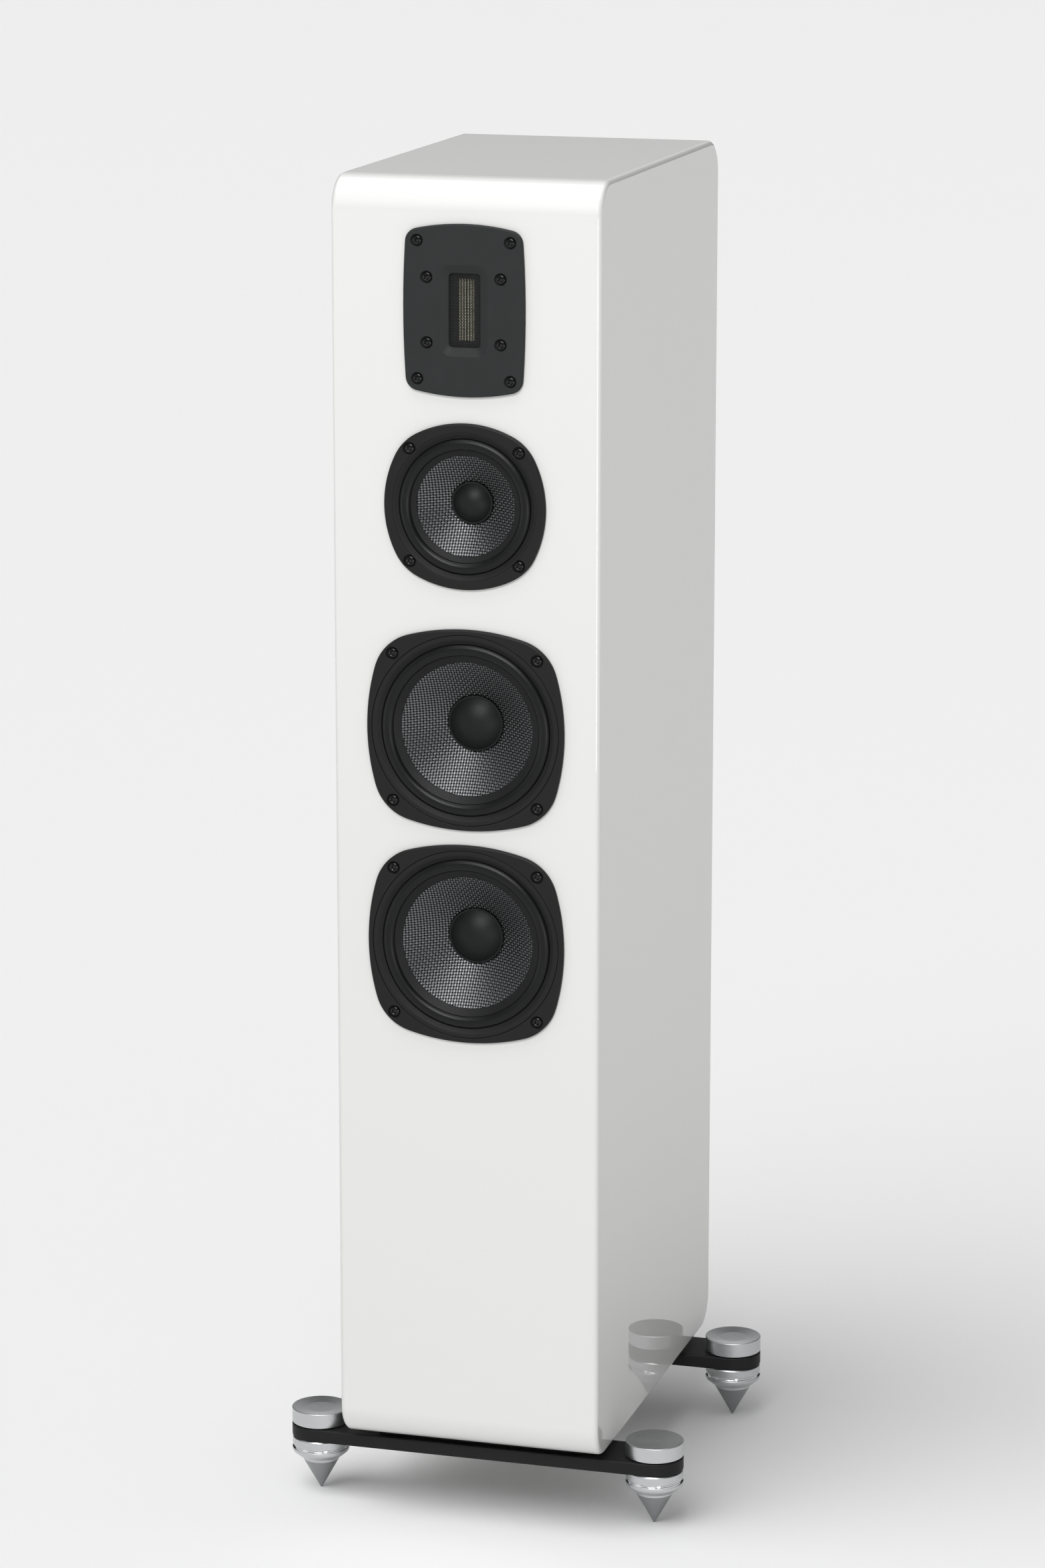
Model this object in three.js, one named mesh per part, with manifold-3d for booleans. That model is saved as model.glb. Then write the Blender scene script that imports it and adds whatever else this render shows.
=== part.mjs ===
// A floorstanding three-way loudspeaker: ribbon tweeter, midrange and two woofers on the front,
// two racetrack passive radiators and a terminal cup on the back, and two outrigger bars with
// four adjustable spikes below.
// Sizes are in millimetres. X points to the right of someone facing the front, Y points to the
// back and Z points up. The origin is on the floor, under the middle of the cabinet.
import * as THREE from "three";
import { mergeVertices } from "three/addons/utils/BufferGeometryUtils.js";
import Module from "manifold-3d";

const wasm = await Module();
wasm.setup();

// ---------------------------------------------------------------- driving dimensions

const GAP = 0.3; // clearance left between neighbouring pieces

const cabinet = {
  width: 200,
  depth: 340,
  height: 948,
  underside: 60,
  cornerRadius: 25, // where the front and back curve into the top and bottom
  edgeRadius: 4, // along the edges of the side panels
  wall: 18,
  sideWall: 15,
};
const FRONT = -cabinet.depth / 2;
const BACK = cabinet.depth / 2;
const MIDDLE_HEIGHT = cabinet.underside + cabinet.height / 2;
const INNER_WIDTH = cabinet.width - 2 * cabinet.sideWall;
const INNER_FLOOR = cabinet.underside + cabinet.wall;

const PLATE_PROUD = 3.5; // how far every driver plate stands out of the cabinet face

// Depths inside a driver run backwards from the cabinet face it is mounted on.
const woofer = {
  plateHalf: 74.2,
  sideRadius: 160,
  cornerRadius: 35,
  seamRadius: 70.5,
  rollOuter: 63.5,
  rollInner: 54.7,
  coneRadius: 49.4,
  coneEdgeDepth: 2.2,
  capRadius: 19.1,
  capDepth: 24.5,
  capHeight: 7,
  coilRadius: 17.5,
  basketDepth: 46,
  motorRadius: 45,
  motorDepth: 76,
};
const midrange = {
  plateHalf: 60.2,
  sideRadius: 80,
  cornerRadius: 36,
  seamRadius: 53.7,
  rollOuter: 49.3,
  rollInner: 40.8,
  coneRadius: 36.7,
  coneEdgeDepth: 1.2,
  capRadius: 13.9,
  capDepth: 17,
  capHeight: 6,
  coilRadius: 12.6,
  basketDepth: 34,
  motorRadius: 36,
  motorDepth: 60,
};
const tweeter = {
  halfWidth: 45,
  halfHeight: 61.5,
  sideRadius: 750,
  endRadius: 170,
  cornerRadius: 10,
  windowWidth: 22.7,
  windowHeight: 52.3,
  windowRadius: 2.5,
  bevelWidth: 6.5, // the sloping border round the window
  bevelDepth: 3.2,
  bodyWidth: 58,
  bodyHeight: 94,
  bodyRadius: 6,
  bossDepth: 0.6,
  ribbonWidth: 12,
  ribbonLength: 45,
  ribbonInset: 2, // from the front of the magnet frame
  meshBorder: 3, // mesh held behind each edge of the window
  meshThickness: 0.8,
  magnetDepth: 27,
  coverDepth: 24,
  coverWall: 2.5,
};
const radiator = {
  straightHalf: 32, // half of the straight stretch between the two round ends
  frameOuter: 59,
  neckOuter: 53,
  neckInner: 51.5,
  frameInner: 49,
  rollOuter: 49.5,
  rollInner: 40,
  diaphragmRadius: 37,
};
const heights = {
  tweeter: 915,
  shelfUpper: 846,
  midrange: 774.3,
  shelfMiddle: 694,
  wooferUpper: 610.8,
  wooferLower: 451.4,
  radiatorUpper: 560,
  radiatorLower: 330,
  terminals: 150,
};
const base = {
  footX: 131.7, // feet left and right of the middle
  footY: 122, // feet in front of and behind the middle
  footRadius: 21.8,
  barBottom: 43.6,
  barTop: 53.6,
  padHalfWidth: 80,
  padDepth: 30,
  shaftRadius: 5,
  tipRadius: 0.6,
  coneRadius: 14, // the spike's cone, where it meets its collar
  coneTop: 24.3,
  collarBottom: 27.2,
  capBottom: 54.4,
  capTop: 65.7,
  capDish: 1.6,
  capChamfer: 0.6,
};
const terminalCup = { flange: 90, flangeCorner: 8, body: 74, wall: 2, depth: 24, flangeProud: 2.8 };
const post = { spacing: 28, studRadius: 2, nutRadius: 6, nutLength: 11 };
const crossover = {
  width: 100,
  depth: 150,
  thickness: 2,
  legHeight: 6,
  legSide: 8,
  legInset: 8, // from the edge of the board to the middle of a leg
  inductorRadius: 26,
  inductorBore: 12,
  inductorHeight: 22,
  inductorY: 30,
};

const DRIVER_FACETS = 24;
const RADIATOR_FACETS = 16;
const MOTOR_FACETS = 12;
const CAP_FACETS = 16;
const FOOT_FACETS = 16;
const POST_FACETS = 8;
const CABINET_CORNER_FACETS = 5;
const SMALL_CORNER_FACETS = 3;
const HIDDEN_CORNER_FACETS = 2;
const EDGE_FACETS = 3;
const ROLL_FACETS = 3;

// ---------------------------------------------------------------- materials

const finish = (color, roughness, metalness) =>
  new THREE.MeshStandardMaterial({ color, roughness, metalness });

const whiteLacquer = () => finish(0xf1f1ee, 0.15, 0);
const bareBoard = () => finish(0xb39a78, 0.85, 0);
const blackPlate = () => finish(0x2b2c2d, 0.55, 0.1);
const charcoalPlate = () => finish(0x3a3d3f, 0.5, 0.2);
const blackRubber = () => finish(0x1a1b1c, 0.6, 0);
const wovenFibre = () => finish(0x3c3d3f, 0.5, 0.1);
const blackMesh = () => finish(0x202122, 0.6, 0.3);
const foil = () => finish(0xb9b48f, 0.3, 0.9);
const magnetSteel = () => finish(0x4a4c4f, 0.4, 0.8);
const copper = () => finish(0xa8683c, 0.4, 0.8);
const spiderCloth = () => finish(0xb98f3e, 0.9, 0);
const goldPlate = () => finish(0xc9a24a, 0.25, 0.9);
const satinAluminium = () => finish(0xb8babc, 0.3, 0.9);
const barPaint = () => finish(0x242526, 0.7, 0.1);
const circuitBoard = () => finish(0x2c5a3a, 0.6, 0);

// ---------------------------------------------------------------- outlines

// Points along an arc, both ends included, anticlockwise when `to` is larger than `from`.
function arc(centreX, centreY, radius, from, to, segments) {
  const points = [];
  for (let i = 0; i <= segments; i++) {
    const angle = from + ((to - from) * i) / segments;
    const x = centreX + radius * Math.cos(angle);
    const y = centreY + radius * Math.sin(angle);
    points.push(new THREE.Vector2(x, y));
  }
  return points;
}

const circle = (radius, facets, centreX = 0, centreY = 0) =>
  arc(centreX, centreY, radius, 0, 2 * Math.PI, facets).slice(0, -1);

function rectangle(width, height, centreX = 0, centreY = 0) {
  const x = width / 2;
  const y = height / 2;
  return [[x, y], [-x, y], [-x, -y], [x, -y]].map(
    ([cornerX, cornerY]) => new THREE.Vector2(centreX + cornerX, centreY + cornerY));
}

function roundedRectangle(width, height, radius, segments, centreX = 0, centreY = 0) {
  const x = width / 2 - radius;
  const y = height / 2 - radius;
  const quarter = Math.PI / 2;
  const corners = [[x, y], [-x, y], [-x, -y], [x, -y]];
  return corners.flatMap(([cornerX, cornerY], i) =>
    arc(
      centreX + cornerX, centreY + cornerY, radius,
      i * quarter, (i + 1) * quarter, segments));
}

// A bar's outline: two half circles joined by straight sides.
function slot(halfLength, radius, segments) {
  return [
    ...arc(halfLength, 0, radius, -Math.PI / 2, Math.PI / 2, segments),
    ...arc(-halfLength, 0, radius, Math.PI / 2, 1.5 * Math.PI, segments),
  ];
}

// Where two circles meet, on the upper right.
function upperRightMeeting(a, radiusA, b, radiusB) {
  const between = b.clone().sub(a);
  const distance = between.length();
  const along = (distance ** 2 + radiusA ** 2 - radiusB ** 2) / (2 * distance);
  const across = Math.sqrt(radiusA ** 2 - along ** 2);
  const direction = between.divideScalar(distance);
  return new THREE.Vector2(
    a.x + direction.x * along + direction.y * across,
    a.y + direction.y * along - direction.x * across,
  );
}

// A plate with four gently bulging sides and round corners, all arcs meeting smoothly.
function bulgedPlate({ halfWidth, halfHeight, sideRadius, endRadius, cornerRadius }) {
  const sideCentre = new THREE.Vector2(halfWidth - sideRadius, 0);
  const endCentre = new THREE.Vector2(0, halfHeight - endRadius);
  const corner = upperRightMeeting(
    endCentre, endRadius - cornerRadius, sideCentre, sideRadius - cornerRadius);
  const sideAngle = corner.clone().sub(sideCentre).angle();
  const endAngle = corner.clone().sub(endCentre).angle();
  const side = arc(sideCentre.x, 0, sideRadius, 0, sideAngle, 2).slice(0, -1);
  const turn = arc(corner.x, corner.y, cornerRadius, sideAngle, endAngle, 4);
  const end = arc(0, endCentre.y, endRadius, endAngle, Math.PI / 2, 2).slice(1, -1);
  const top = new THREE.Vector2(0, halfHeight);
  const quarter = [...side, ...turn, ...end, top];
  const mirrored = (points, signX, signY) =>
    points.map((p) => new THREE.Vector2(p.x * signX, p.y * signY));
  return [
    ...quarter,
    ...mirrored(quarter.slice(1, -1).reverse(), -1, 1),
    ...mirrored(quarter, -1, -1),
    ...mirrored(quarter.slice(1, -1).reverse(), 1, -1),
  ];
}

// ---------------------------------------------------------------- solids

function solidOf(geometry) {
  const bare = geometry.index ? geometry.toNonIndexed() : geometry.clone();
  bare.deleteAttribute("normal");
  bare.deleteAttribute("uv");
  const merged = mergeVertices(bare, 1e-4);
  return new wasm.Manifold(
    new wasm.Mesh({
      numProp: 3,
      vertProperties: merged.attributes.position.array,
      triVerts: new Uint32Array(merged.index.array),
    }),
  );
}

const join = (first, ...others) => others.reduce((sum, other) => sum.add(other), first);
const cut = (first, ...tools) => tools.reduce((rest, tool) => rest.subtract(tool), first);

function extruded(outline, depth, holes = [], bevel = {}) {
  const shape = new THREE.Shape(outline);
  shape.holes = holes.map((points) => new THREE.Path(points));
  return new THREE.ExtrudeGeometry(shape, { depth, bevelEnabled: false, ...bevel });
}

const AXIS_X = new THREE.Vector3(1, 0, 0);
const AXIS_Y = new THREE.Vector3(0, 1, 0);
const AXIS_Z = new THREE.Vector3(0, 0, 1);
const FACING_FRONT = new THREE.Matrix4().makeBasis(AXIS_X, AXIS_Z, AXIS_Y.clone().negate());
const FACING_SIDE = new THREE.Matrix4().makeBasis(AXIS_Y, AXIS_Z, AXIS_X);

// An outline in X and Z, from depth `front` to depth `back`.
function uprightPlate(outline, front, back, holes) {
  const geometry = extruded(outline, back - front, holes);
  return geometry.applyMatrix4(FACING_FRONT).translate(0, back, 0);
}

// An outline in Y and Z, from x = `left` to x = `right`.
function sidewaysPlate(outline, left, right, holes) {
  const geometry = extruded(outline, right - left, holes);
  return geometry.applyMatrix4(FACING_SIDE).translate(left, 0, 0);
}

// An outline in X and Y, from z = `bottom` to z = `top`.
function flatPlate(outline, bottom, top, holes) {
  return extruded(outline, top - bottom, holes).translate(0, 0, bottom);
}

// A profile of [radius, depth] points turned about the Y axis. It closes on itself or on the axis.
function turned(profile, facets, phase = 0) {
  const points = profile.map(([radius, depth]) => new THREE.Vector2(radius, depth));
  if (THREE.ShapeUtils.area(points) < 0) points.reverse();
  const onAxis = points[0].x === 0 && points.at(-1).x === 0;
  const start = points.findIndex((p, i) => p.x === 0 && points.at(i - 1).x === 0);
  if (start > 0) points.push(...points.splice(0, start));
  if (!onAxis && start < 0) points.push(points[0].clone());
  return new THREE.LatheGeometry(points, facets, phase);
}

// The same profile turned about the Z axis, as [radius, height].
const turnedUpright = (profile, facets) => turned(profile, facets).rotateX(Math.PI / 2);

// The same profile run round a racetrack: two half turns held apart by a straight stretch.
function racetrack(profile, facets, straightHalf) {
  const phase = Math.PI / facets;
  const geometry = turned(profile, facets, phase);
  const position = geometry.attributes.position;
  const perTurn = position.count / (facets + 1);
  for (let i = 0; i < position.count; i++) {
    const angle = phase + (Math.floor(i / perTurn) * 2 * Math.PI) / facets;
    const shift = Math.cos(angle) > 0 ? straightHalf : -straightHalf;
    position.setZ(i, position.getZ(i) + shift);
  }
  return geometry;
}

const speaker = new THREE.Group();
speaker.name = "floorstanding_speaker";

function add(name, solid, material, [x, y, z] = [0, 0, 0]) {
  const { vertProperties, triVerts } = solid.getMesh();
  const geometry = new THREE.BufferGeometry();
  const positions = new THREE.BufferAttribute(new Float32Array(vertProperties), 3);
  geometry.setAttribute("position", positions);
  geometry.setIndex(new THREE.BufferAttribute(new Uint32Array(triVerts), 1));
  geometry.computeVertexNormals();
  const mesh = new THREE.Mesh(geometry, material);
  mesh.name = name;
  mesh.position.set(x, y, z);
  speaker.add(mesh);
  return mesh;
}

// The same, for a piece mounted on the back: it is turned to face backwards.
function addFacingBack(name, solid, material, z) {
  add(name, solid, material, [0, BACK, z]).rotation.z = Math.PI;
}

// ---------------------------------------------------------------- cabinet

const RIM_WIDTH = 1.8; // the flat rim round a surround
const NECK_WALL = 1.4;

const rimOuter = (driver) => driver.rollOuter + RIM_WIDTH;
const neckInner = (driver) => rimOuter(driver) + GAP;
const neckOuter = (driver) => neckInner(driver) + NECK_WALL;
const cutoutRadius = (driver) => neckOuter(driver) + 2 * GAP;

const CUTOUT_MARGIN = 1; // clearance round the tweeter body and the terminal cup

// Front, top, back and bottom are one bent board, with an opening for each driver.
function cabinetWrap() {
  const { depth, height, cornerRadius, wall } = cabinet;
  const outside = roundedRectangle(depth, height, cornerRadius, CABINET_CORNER_FACETS);
  const inside = roundedRectangle(
    depth - 2 * wall, height - 2 * wall, cornerRadius - wall, HIDDEN_CORNER_FACETS);
  const half = INNER_WIDTH / 2 - GAP;
  const board = sidewaysPlate(outside, -half, half, [inside]);
  board.translate(0, 0, MIDDLE_HEIGHT);

  const through = (outline, face, z) =>
    solidOf(uprightPlate(outline, face - wall - 1, face + wall + 1).translate(0, 0, z));
  const round = (driver, z) =>
    through(circle(cutoutRadius(driver), DRIVER_FACETS), FRONT, z);
  const racetrackHole = (z) => {
    const radius = radiator.neckOuter + 2 * GAP;
    const profile = [[0, -1], [radius, -1], [radius, wall + 1], [0, wall + 1]];
    const tool = racetrack(profile, DRIVER_FACETS, radiator.straightHalf);
    return solidOf(tool.rotateZ(Math.PI).translate(0, BACK, z));
  };
  const tweeterHole = roundedRectangle(
    tweeter.bodyWidth + CUTOUT_MARGIN, tweeter.bodyHeight + CUTOUT_MARGIN,
    tweeter.bodyRadius, SMALL_CORNER_FACETS);
  const terminalHole = rectangle(
    terminalCup.body + CUTOUT_MARGIN, terminalCup.body + CUTOUT_MARGIN);
  return cut(
    solidOf(board),
    through(tweeterHole, FRONT, heights.tweeter),
    round(midrange, heights.midrange),
    round(woofer, heights.wooferUpper),
    round(woofer, heights.wooferLower),
    racetrackHole(heights.radiatorUpper),
    racetrackHole(heights.radiatorLower),
    through(terminalHole, BACK, heights.terminals),
  );
}

// A side panel, rounded along its outer edge. `side` is -1 for the left and 1 for the right.
function sidePanel(side) {
  const { depth, height, cornerRadius, edgeRadius, sideWall, width } = cabinet;
  const outline = roundedRectangle(
    depth - 2 * edgeRadius, height - 2 * edgeRadius,
    cornerRadius - edgeRadius, CABINET_CORNER_FACETS);
  const bevel = {
    bevelEnabled: true,
    bevelThickness: edgeRadius,
    bevelSize: edgeRadius,
    bevelSegments: EDGE_FACETS,
  };
  const straight = sideWall - edgeRadius;
  const twoSided = extruded(outline, 2 * straight, [], bevel);
  twoSided.translate(0, 0, -straight).applyMatrix4(FACING_SIDE);
  twoSided.translate(side * (width / 2 - sideWall), 0, MIDDLE_HEIGHT);
  const innerHalf = new THREE.BoxGeometry(2 * sideWall, 2 * depth, 2 * height);
  innerHalf.translate(side * (width / 2 - 2 * sideWall), 0, MIDDLE_HEIGHT);
  return cut(solidOf(twoSided), solidOf(innerHalf));
}

const SHELF_THICKNESS = 12;
const BRACE_BACK = 110; // the brace stops short of the passive radiators
const BRACE_WINDOW_DEPTH = 150;
const BRACE_BORDER = 30; // board left on each side of the window

// A level board inside the cabinet, from the front wall to `back`, centred on height z.
function shelf(z, back, windows = []) {
  const front = FRONT + cabinet.wall + GAP;
  const outline = rectangle(
    INNER_WIDTH - 2 * GAP, back - front, 0, (front + back) / 2);
  return solidOf(
    flatPlate(outline, z - SHELF_THICKNESS / 2, z + SHELF_THICKNESS / 2, windows));
}

function addCabinet() {
  const backWall = BACK - cabinet.wall - GAP;
  const betweenWoofers = (heights.wooferUpper + heights.wooferLower) / 2;
  add("cabinet_wrap", cabinetWrap(), whiteLacquer());
  add("side_panel_left", sidePanel(-1), whiteLacquer());
  add("side_panel_right", sidePanel(1), whiteLacquer());
  add("shelf_upper", shelf(heights.shelfUpper, backWall), bareBoard());
  add("shelf_middle", shelf(heights.shelfMiddle, backWall), bareBoard());
  const window = rectangle(INNER_WIDTH - 2 * BRACE_BORDER, BRACE_WINDOW_DEPTH);
  add("window_brace", shelf(betweenWoofers, BRACE_BACK, [window]), bareBoard());
}

// ---------------------------------------------------------------- cone drivers

const LIP_FRONT = -0.4; // the flat rim of a surround
const LIP_BACK = 0.4;
const SHELF_DEPTH = LIP_BACK + GAP; // the step in the frame the rim is glued to
const SHELF_WIDTH = 2;
const REBATE_DEPTH = -1.7; // the step in the plate the trim ring lies on
const REBATE_OVERLAP = 1; // where the plate and the rebate ring run into each other
const ROLL_HEIGHT = 3;
const NECK_END = 6;
const BASKET_WALL = 2.5;
const BASKET_BORDER = 1; // round the motor
const COIL_OPENING = 5; // from the coil to the edge of the hole in the basket's back
const WINDOW_TOP = 4; // solid stretch of the basket in front of its windows
const WINDOW_BOTTOM = 5; // and behind them
const WINDOW_SHARE = 1.1; // width of a basket window, in motor radii

const shelfInner = (driver) => driver.rollOuter - SHELF_WIDTH;
const basketBack = (driver) => driver.motorRadius + BASKET_BORDER;

// Inside radius of the conical basket at a depth.
function basketInside(driver, depth) {
  const top = shelfInner(driver);
  const bottom = basketBack(driver) - BASKET_WALL;
  const length = driver.basketDepth - BASKET_WALL - NECK_END;
  return top + ((bottom - top) * (depth - NECK_END)) / length;
}

// Cast frame: the outer plate, the neck that drops into the cabinet and a basket with four windows.
function driverFrame(driver) {
  const { plateHalf, sideRadius, cornerRadius, seamRadius, basketDepth } = driver;
  const outline = bulgedPlate({
    halfWidth: plateHalf,
    halfHeight: plateHalf,
    sideRadius,
    endRadius: sideRadius,
    cornerRadius,
  });
  const hole = circle(seamRadius, DRIVER_FACETS);
  const plate = solidOf(uprightPlate(outline, -PLATE_PROUD, -GAP, [hole]));
  const rebateOuter = seamRadius + REBATE_OVERLAP;
  const backInner = driver.coilRadius + COIL_OPENING;
  const basket = solidOf(turned([
    [shelfInner(driver), SHELF_DEPTH],
    [neckInner(driver), SHELF_DEPTH],
    [neckInner(driver), REBATE_DEPTH],
    [rebateOuter, REBATE_DEPTH],
    [rebateOuter, -GAP],
    [neckOuter(driver), -GAP],
    [neckOuter(driver), NECK_END],
    [basketBack(driver), basketDepth],
    [backInner, basketDepth],
    [backInner, basketDepth - BASKET_WALL],
    [basketBack(driver) - BASKET_WALL, basketDepth - BASKET_WALL],
    [shelfInner(driver), NECK_END],
  ], DRIVER_FACETS));
  const windowWidth = driver.motorRadius * WINDOW_SHARE;
  const windowFront = NECK_END + WINDOW_TOP;
  const windowBack = basketDepth - BASKET_WALL - WINDOW_BOTTOM;
  const windowDepth = windowBack - windowFront;
  const windowCentre = (windowFront + windowBack) / 2;
  const acrossX = new THREE.BoxGeometry(4 * plateHalf, windowDepth, windowWidth);
  const acrossZ = new THREE.BoxGeometry(windowWidth, windowDepth, 4 * plateHalf);
  acrossX.translate(0, windowCentre, 0);
  acrossZ.translate(0, windowCentre, 0);
  return join(plate, cut(basket, solidOf(acrossX), solidOf(acrossZ)));
}

const TRIM_THICKNESS = 1.3;
const TRIM_EDGE = 0.6; // thickness of its inner edge
const TRIM_SLOPE = 3.4; // width of its sloping inner part

// Ring over the rim of the surround: flush with the plate outside, sloping in to the foot of the roll.
function trimRing(driver) {
  const inner = driver.rollOuter + GAP;
  const outer = driver.seamRadius - GAP;
  const step = neckInner(driver) - GAP;
  const back = REBATE_DEPTH - GAP;
  const front = back - TRIM_THICKNESS;
  const foot = LIP_FRONT - GAP;
  return solidOf(turned([
    [inner, foot - TRIM_EDGE],
    [inner + TRIM_SLOPE, front],
    [outer, front],
    [outer, back],
    [step, back],
    [step, foot],
    [inner, foot],
  ], DRIVER_FACETS));
}

// Points over a half roll, from its outer foot to its inner foot. Its crest is one facet wide.
function rollArc(outer, inner, feet, crest) {
  const middle = (outer + inner) / 2;
  const halfWidth = (outer - inner) / 2;
  const highest = Math.sin(Math.PI / ROLL_FACETS);
  return arc(0, 0, 1, 0, Math.PI, ROLL_FACETS).map((p) => [
    middle + halfWidth * p.x,
    feet + ((crest - feet) * p.y) / highest,
  ]);
}

const RUBBER = 0.8;
const LAND_FRONT = -0.5; // faces of the land, from the depth of the cone's edge
const LAND_BACK = 0.3;

// Rubber surround: a flat rim, a half roll and a sloping land glued to the cone.
function surround({ rollOuter, rollInner, landInner, landDepth, rim }) {
  const crest = LIP_FRONT - ROLL_HEIGHT;
  const front = rollArc(rollOuter, rollInner, LIP_FRONT, crest);
  const back = rollArc(rollOuter - RUBBER, rollInner + RUBBER, LIP_BACK, crest + RUBBER);
  return [
    [rim, LIP_BACK],
    [rim, LIP_FRONT],
    ...front,
    [landInner, landDepth + LAND_FRONT],
    [landInner, landDepth + LAND_BACK],
    ...back.reverse(),
  ];
}

const COLLAR = 1.4; // flat border round a dust cap
const CAP_WALL = 0.8;
const CONE_WALL = 1.2;

// Depth of the front of a cone at a radius: a straight slope that passes just under the cap.
function coneDepth(driver, radius) {
  const collarRadius = driver.capRadius + COLLAR;
  const collarDepth = driver.capDepth + CAP_WALL + GAP;
  const slope = (collarDepth - driver.coneEdgeDepth) / (driver.coneRadius - collarRadius);
  return driver.coneEdgeDepth + slope * (driver.coneRadius - radius);
}

function cone(driver) {
  const outer = driver.coneRadius - GAP;
  const inner = driver.coilRadius + GAP;
  return solidOf(turned([
    [outer, coneDepth(driver, outer)],
    [outer, coneDepth(driver, outer) + CONE_WALL],
    [inner, coneDepth(driver, inner) + CONE_WALL],
    [inner, coneDepth(driver, inner)],
  ], DRIVER_FACETS));
}

// Convex dust cap with a flat collar.
function dustCap({ capRadius, capDepth, capHeight }) {
  const back = capDepth + CAP_WALL;
  const dome = (radius, foot) => {
    const points = arc(0, 0, 1, Math.PI / 2, 0, SMALL_CORNER_FACETS)
      .map((p) => [radius * p.x, foot - capHeight * p.y]);
    points[0][0] = 0;
    return points;
  };
  return solidOf(turned([
    ...dome(capRadius, capDepth),
    [capRadius + COLLAR, capDepth],
    [capRadius + COLLAR, back],
    ...dome(capRadius - CAP_WALL, back).reverse(),
  ], CAP_FACETS));
}

const FORMER_WALL = 0.7;
const WINDING = 0.6;
const OVERHANG = 1; // of the winding in front of the magnet
const WINDING_BEHIND = 6; // and behind its front plate
const FRONT_PLATE = 5;
const BACK_PLATE = 6;
const MAGNET_GAP = 0.8; // air on each side of the coil
const MAGNET_INSET = 5; // from the gap to the inside of the ferrite ring

// Tube that joins the cone to the winding in the magnet gap.
function voiceCoil(driver) {
  const { coilRadius, basketDepth } = driver;
  const top = coneDepth(driver, coilRadius);
  const windingTop = basketDepth - OVERHANG;
  const windingEnd = basketDepth + FRONT_PLATE + WINDING_BEHIND;
  return solidOf(turned([
    [coilRadius - FORMER_WALL, top],
    [coilRadius, top],
    [coilRadius, windingTop],
    [coilRadius + WINDING, windingTop],
    [coilRadius + WINDING, windingEnd],
    [coilRadius - FORMER_WALL, windingEnd],
  ], MOTOR_FACETS));
}

// Corrugated cloth that centres the voice coil.
function spider(driver) {
  const waveHeight = 1.2;
  const cloth = 0.8;
  const depth = (coneDepth(driver, driver.coilRadius) + driver.basketDepth) / 2;
  const inner = driver.coilRadius + GAP;
  const narrowest = basketInside(driver, depth + waveHeight + cloth);
  const outer = narrowest * Math.cos(Math.PI / DRIVER_FACETS) - 2 * GAP;
  const steps = [0, 1, 2, 3];
  const waves = steps.map((i) => [
    inner + ((outer - inner) * i) / (steps.length - 1),
    depth + (i % 2 ? waveHeight : -waveHeight),
  ]);
  const underside = waves.map(([radius, y]) => [radius, y + cloth]).reverse();
  return solidOf(turned([...waves, ...underside], MOTOR_FACETS));
}

// Magnet with its front plate, back plate and centre pole, open at the front for the coil.
function motor(driver) {
  const { coilRadius, basketDepth, motorRadius, motorDepth } = driver;
  const front = basketDepth + GAP;
  const floor = motorDepth - BACK_PLATE;
  const pole = coilRadius - FORMER_WALL - MAGNET_GAP;
  const gapOuter = coilRadius + WINDING + MAGNET_GAP;
  const magnetInner = gapOuter + MAGNET_INSET;
  return solidOf(turned([
    [0, front],
    [pole, front],
    [pole, floor],
    [magnetInner, floor],
    [magnetInner, front + FRONT_PLATE],
    [gapOuter, front + FRONT_PLATE],
    [gapOuter, front],
    [motorRadius, front],
    [motorRadius, motorDepth],
    [0, motorDepth],
  ], MOTOR_FACETS));
}

function addDriver(name, driver, z) {
  const at = [0, FRONT, z];
  const rubber = surround({
    rollOuter: driver.rollOuter,
    rollInner: driver.rollInner,
    landInner: driver.coneRadius,
    landDepth: driver.coneEdgeDepth,
    rim: rimOuter(driver),
  });
  add(`${name}_frame`, driverFrame(driver), blackPlate(), at);
  add(`${name}_trim_ring`, trimRing(driver), blackRubber(), at);
  add(`${name}_surround`, solidOf(turned(rubber, DRIVER_FACETS)), blackRubber(), at);
  add(`${name}_cone`, cone(driver), wovenFibre(), at);
  add(`${name}_dust_cap`, dustCap(driver), blackRubber(), at);
  add(`${name}_voice_coil`, voiceCoil(driver), copper(), at);
  add(`${name}_spider`, spider(driver), spiderCloth(), at);
  add(`${name}_motor`, motor(driver), magnetSteel(), at);
}

// ---------------------------------------------------------------- ribbon tweeter

// Plate with a window whose border slopes inwards, and a boss that drops into the cabinet.
function tweeterFaceplate() {
  const { windowWidth, windowHeight, windowRadius, bevelWidth, bevelDepth } = tweeter;
  const window = roundedRectangle(
    windowWidth, windowHeight, windowRadius, HIDDEN_CORNER_FACETS);
  const boss = roundedRectangle(
    tweeter.bodyWidth, tweeter.bodyHeight, tweeter.bodyRadius, SMALL_CORNER_FACETS);
  const plate = solidOf(uprightPlate(bulgedPlate(tweeter), -PLATE_PROUD, -GAP));
  const bossSolid = solidOf(uprightPlate(boss, -PLATE_PROUD / 2, tweeter.bossDepth));
  const sloped = extruded(window, 2 * PLATE_PROUD, [], {
    bevelEnabled: true,
    bevelThickness: bevelDepth,
    bevelSize: bevelWidth,
    bevelSegments: 1,
  });
  sloped.applyMatrix4(FACING_FRONT).translate(0, -PLATE_PROUD, 0);
  const through = uprightPlate(window, -2 * PLATE_PROUD, 2 * tweeter.bossDepth);
  return cut(join(plate, bossSolid), solidOf(sloped), solidOf(through));
}

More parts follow.
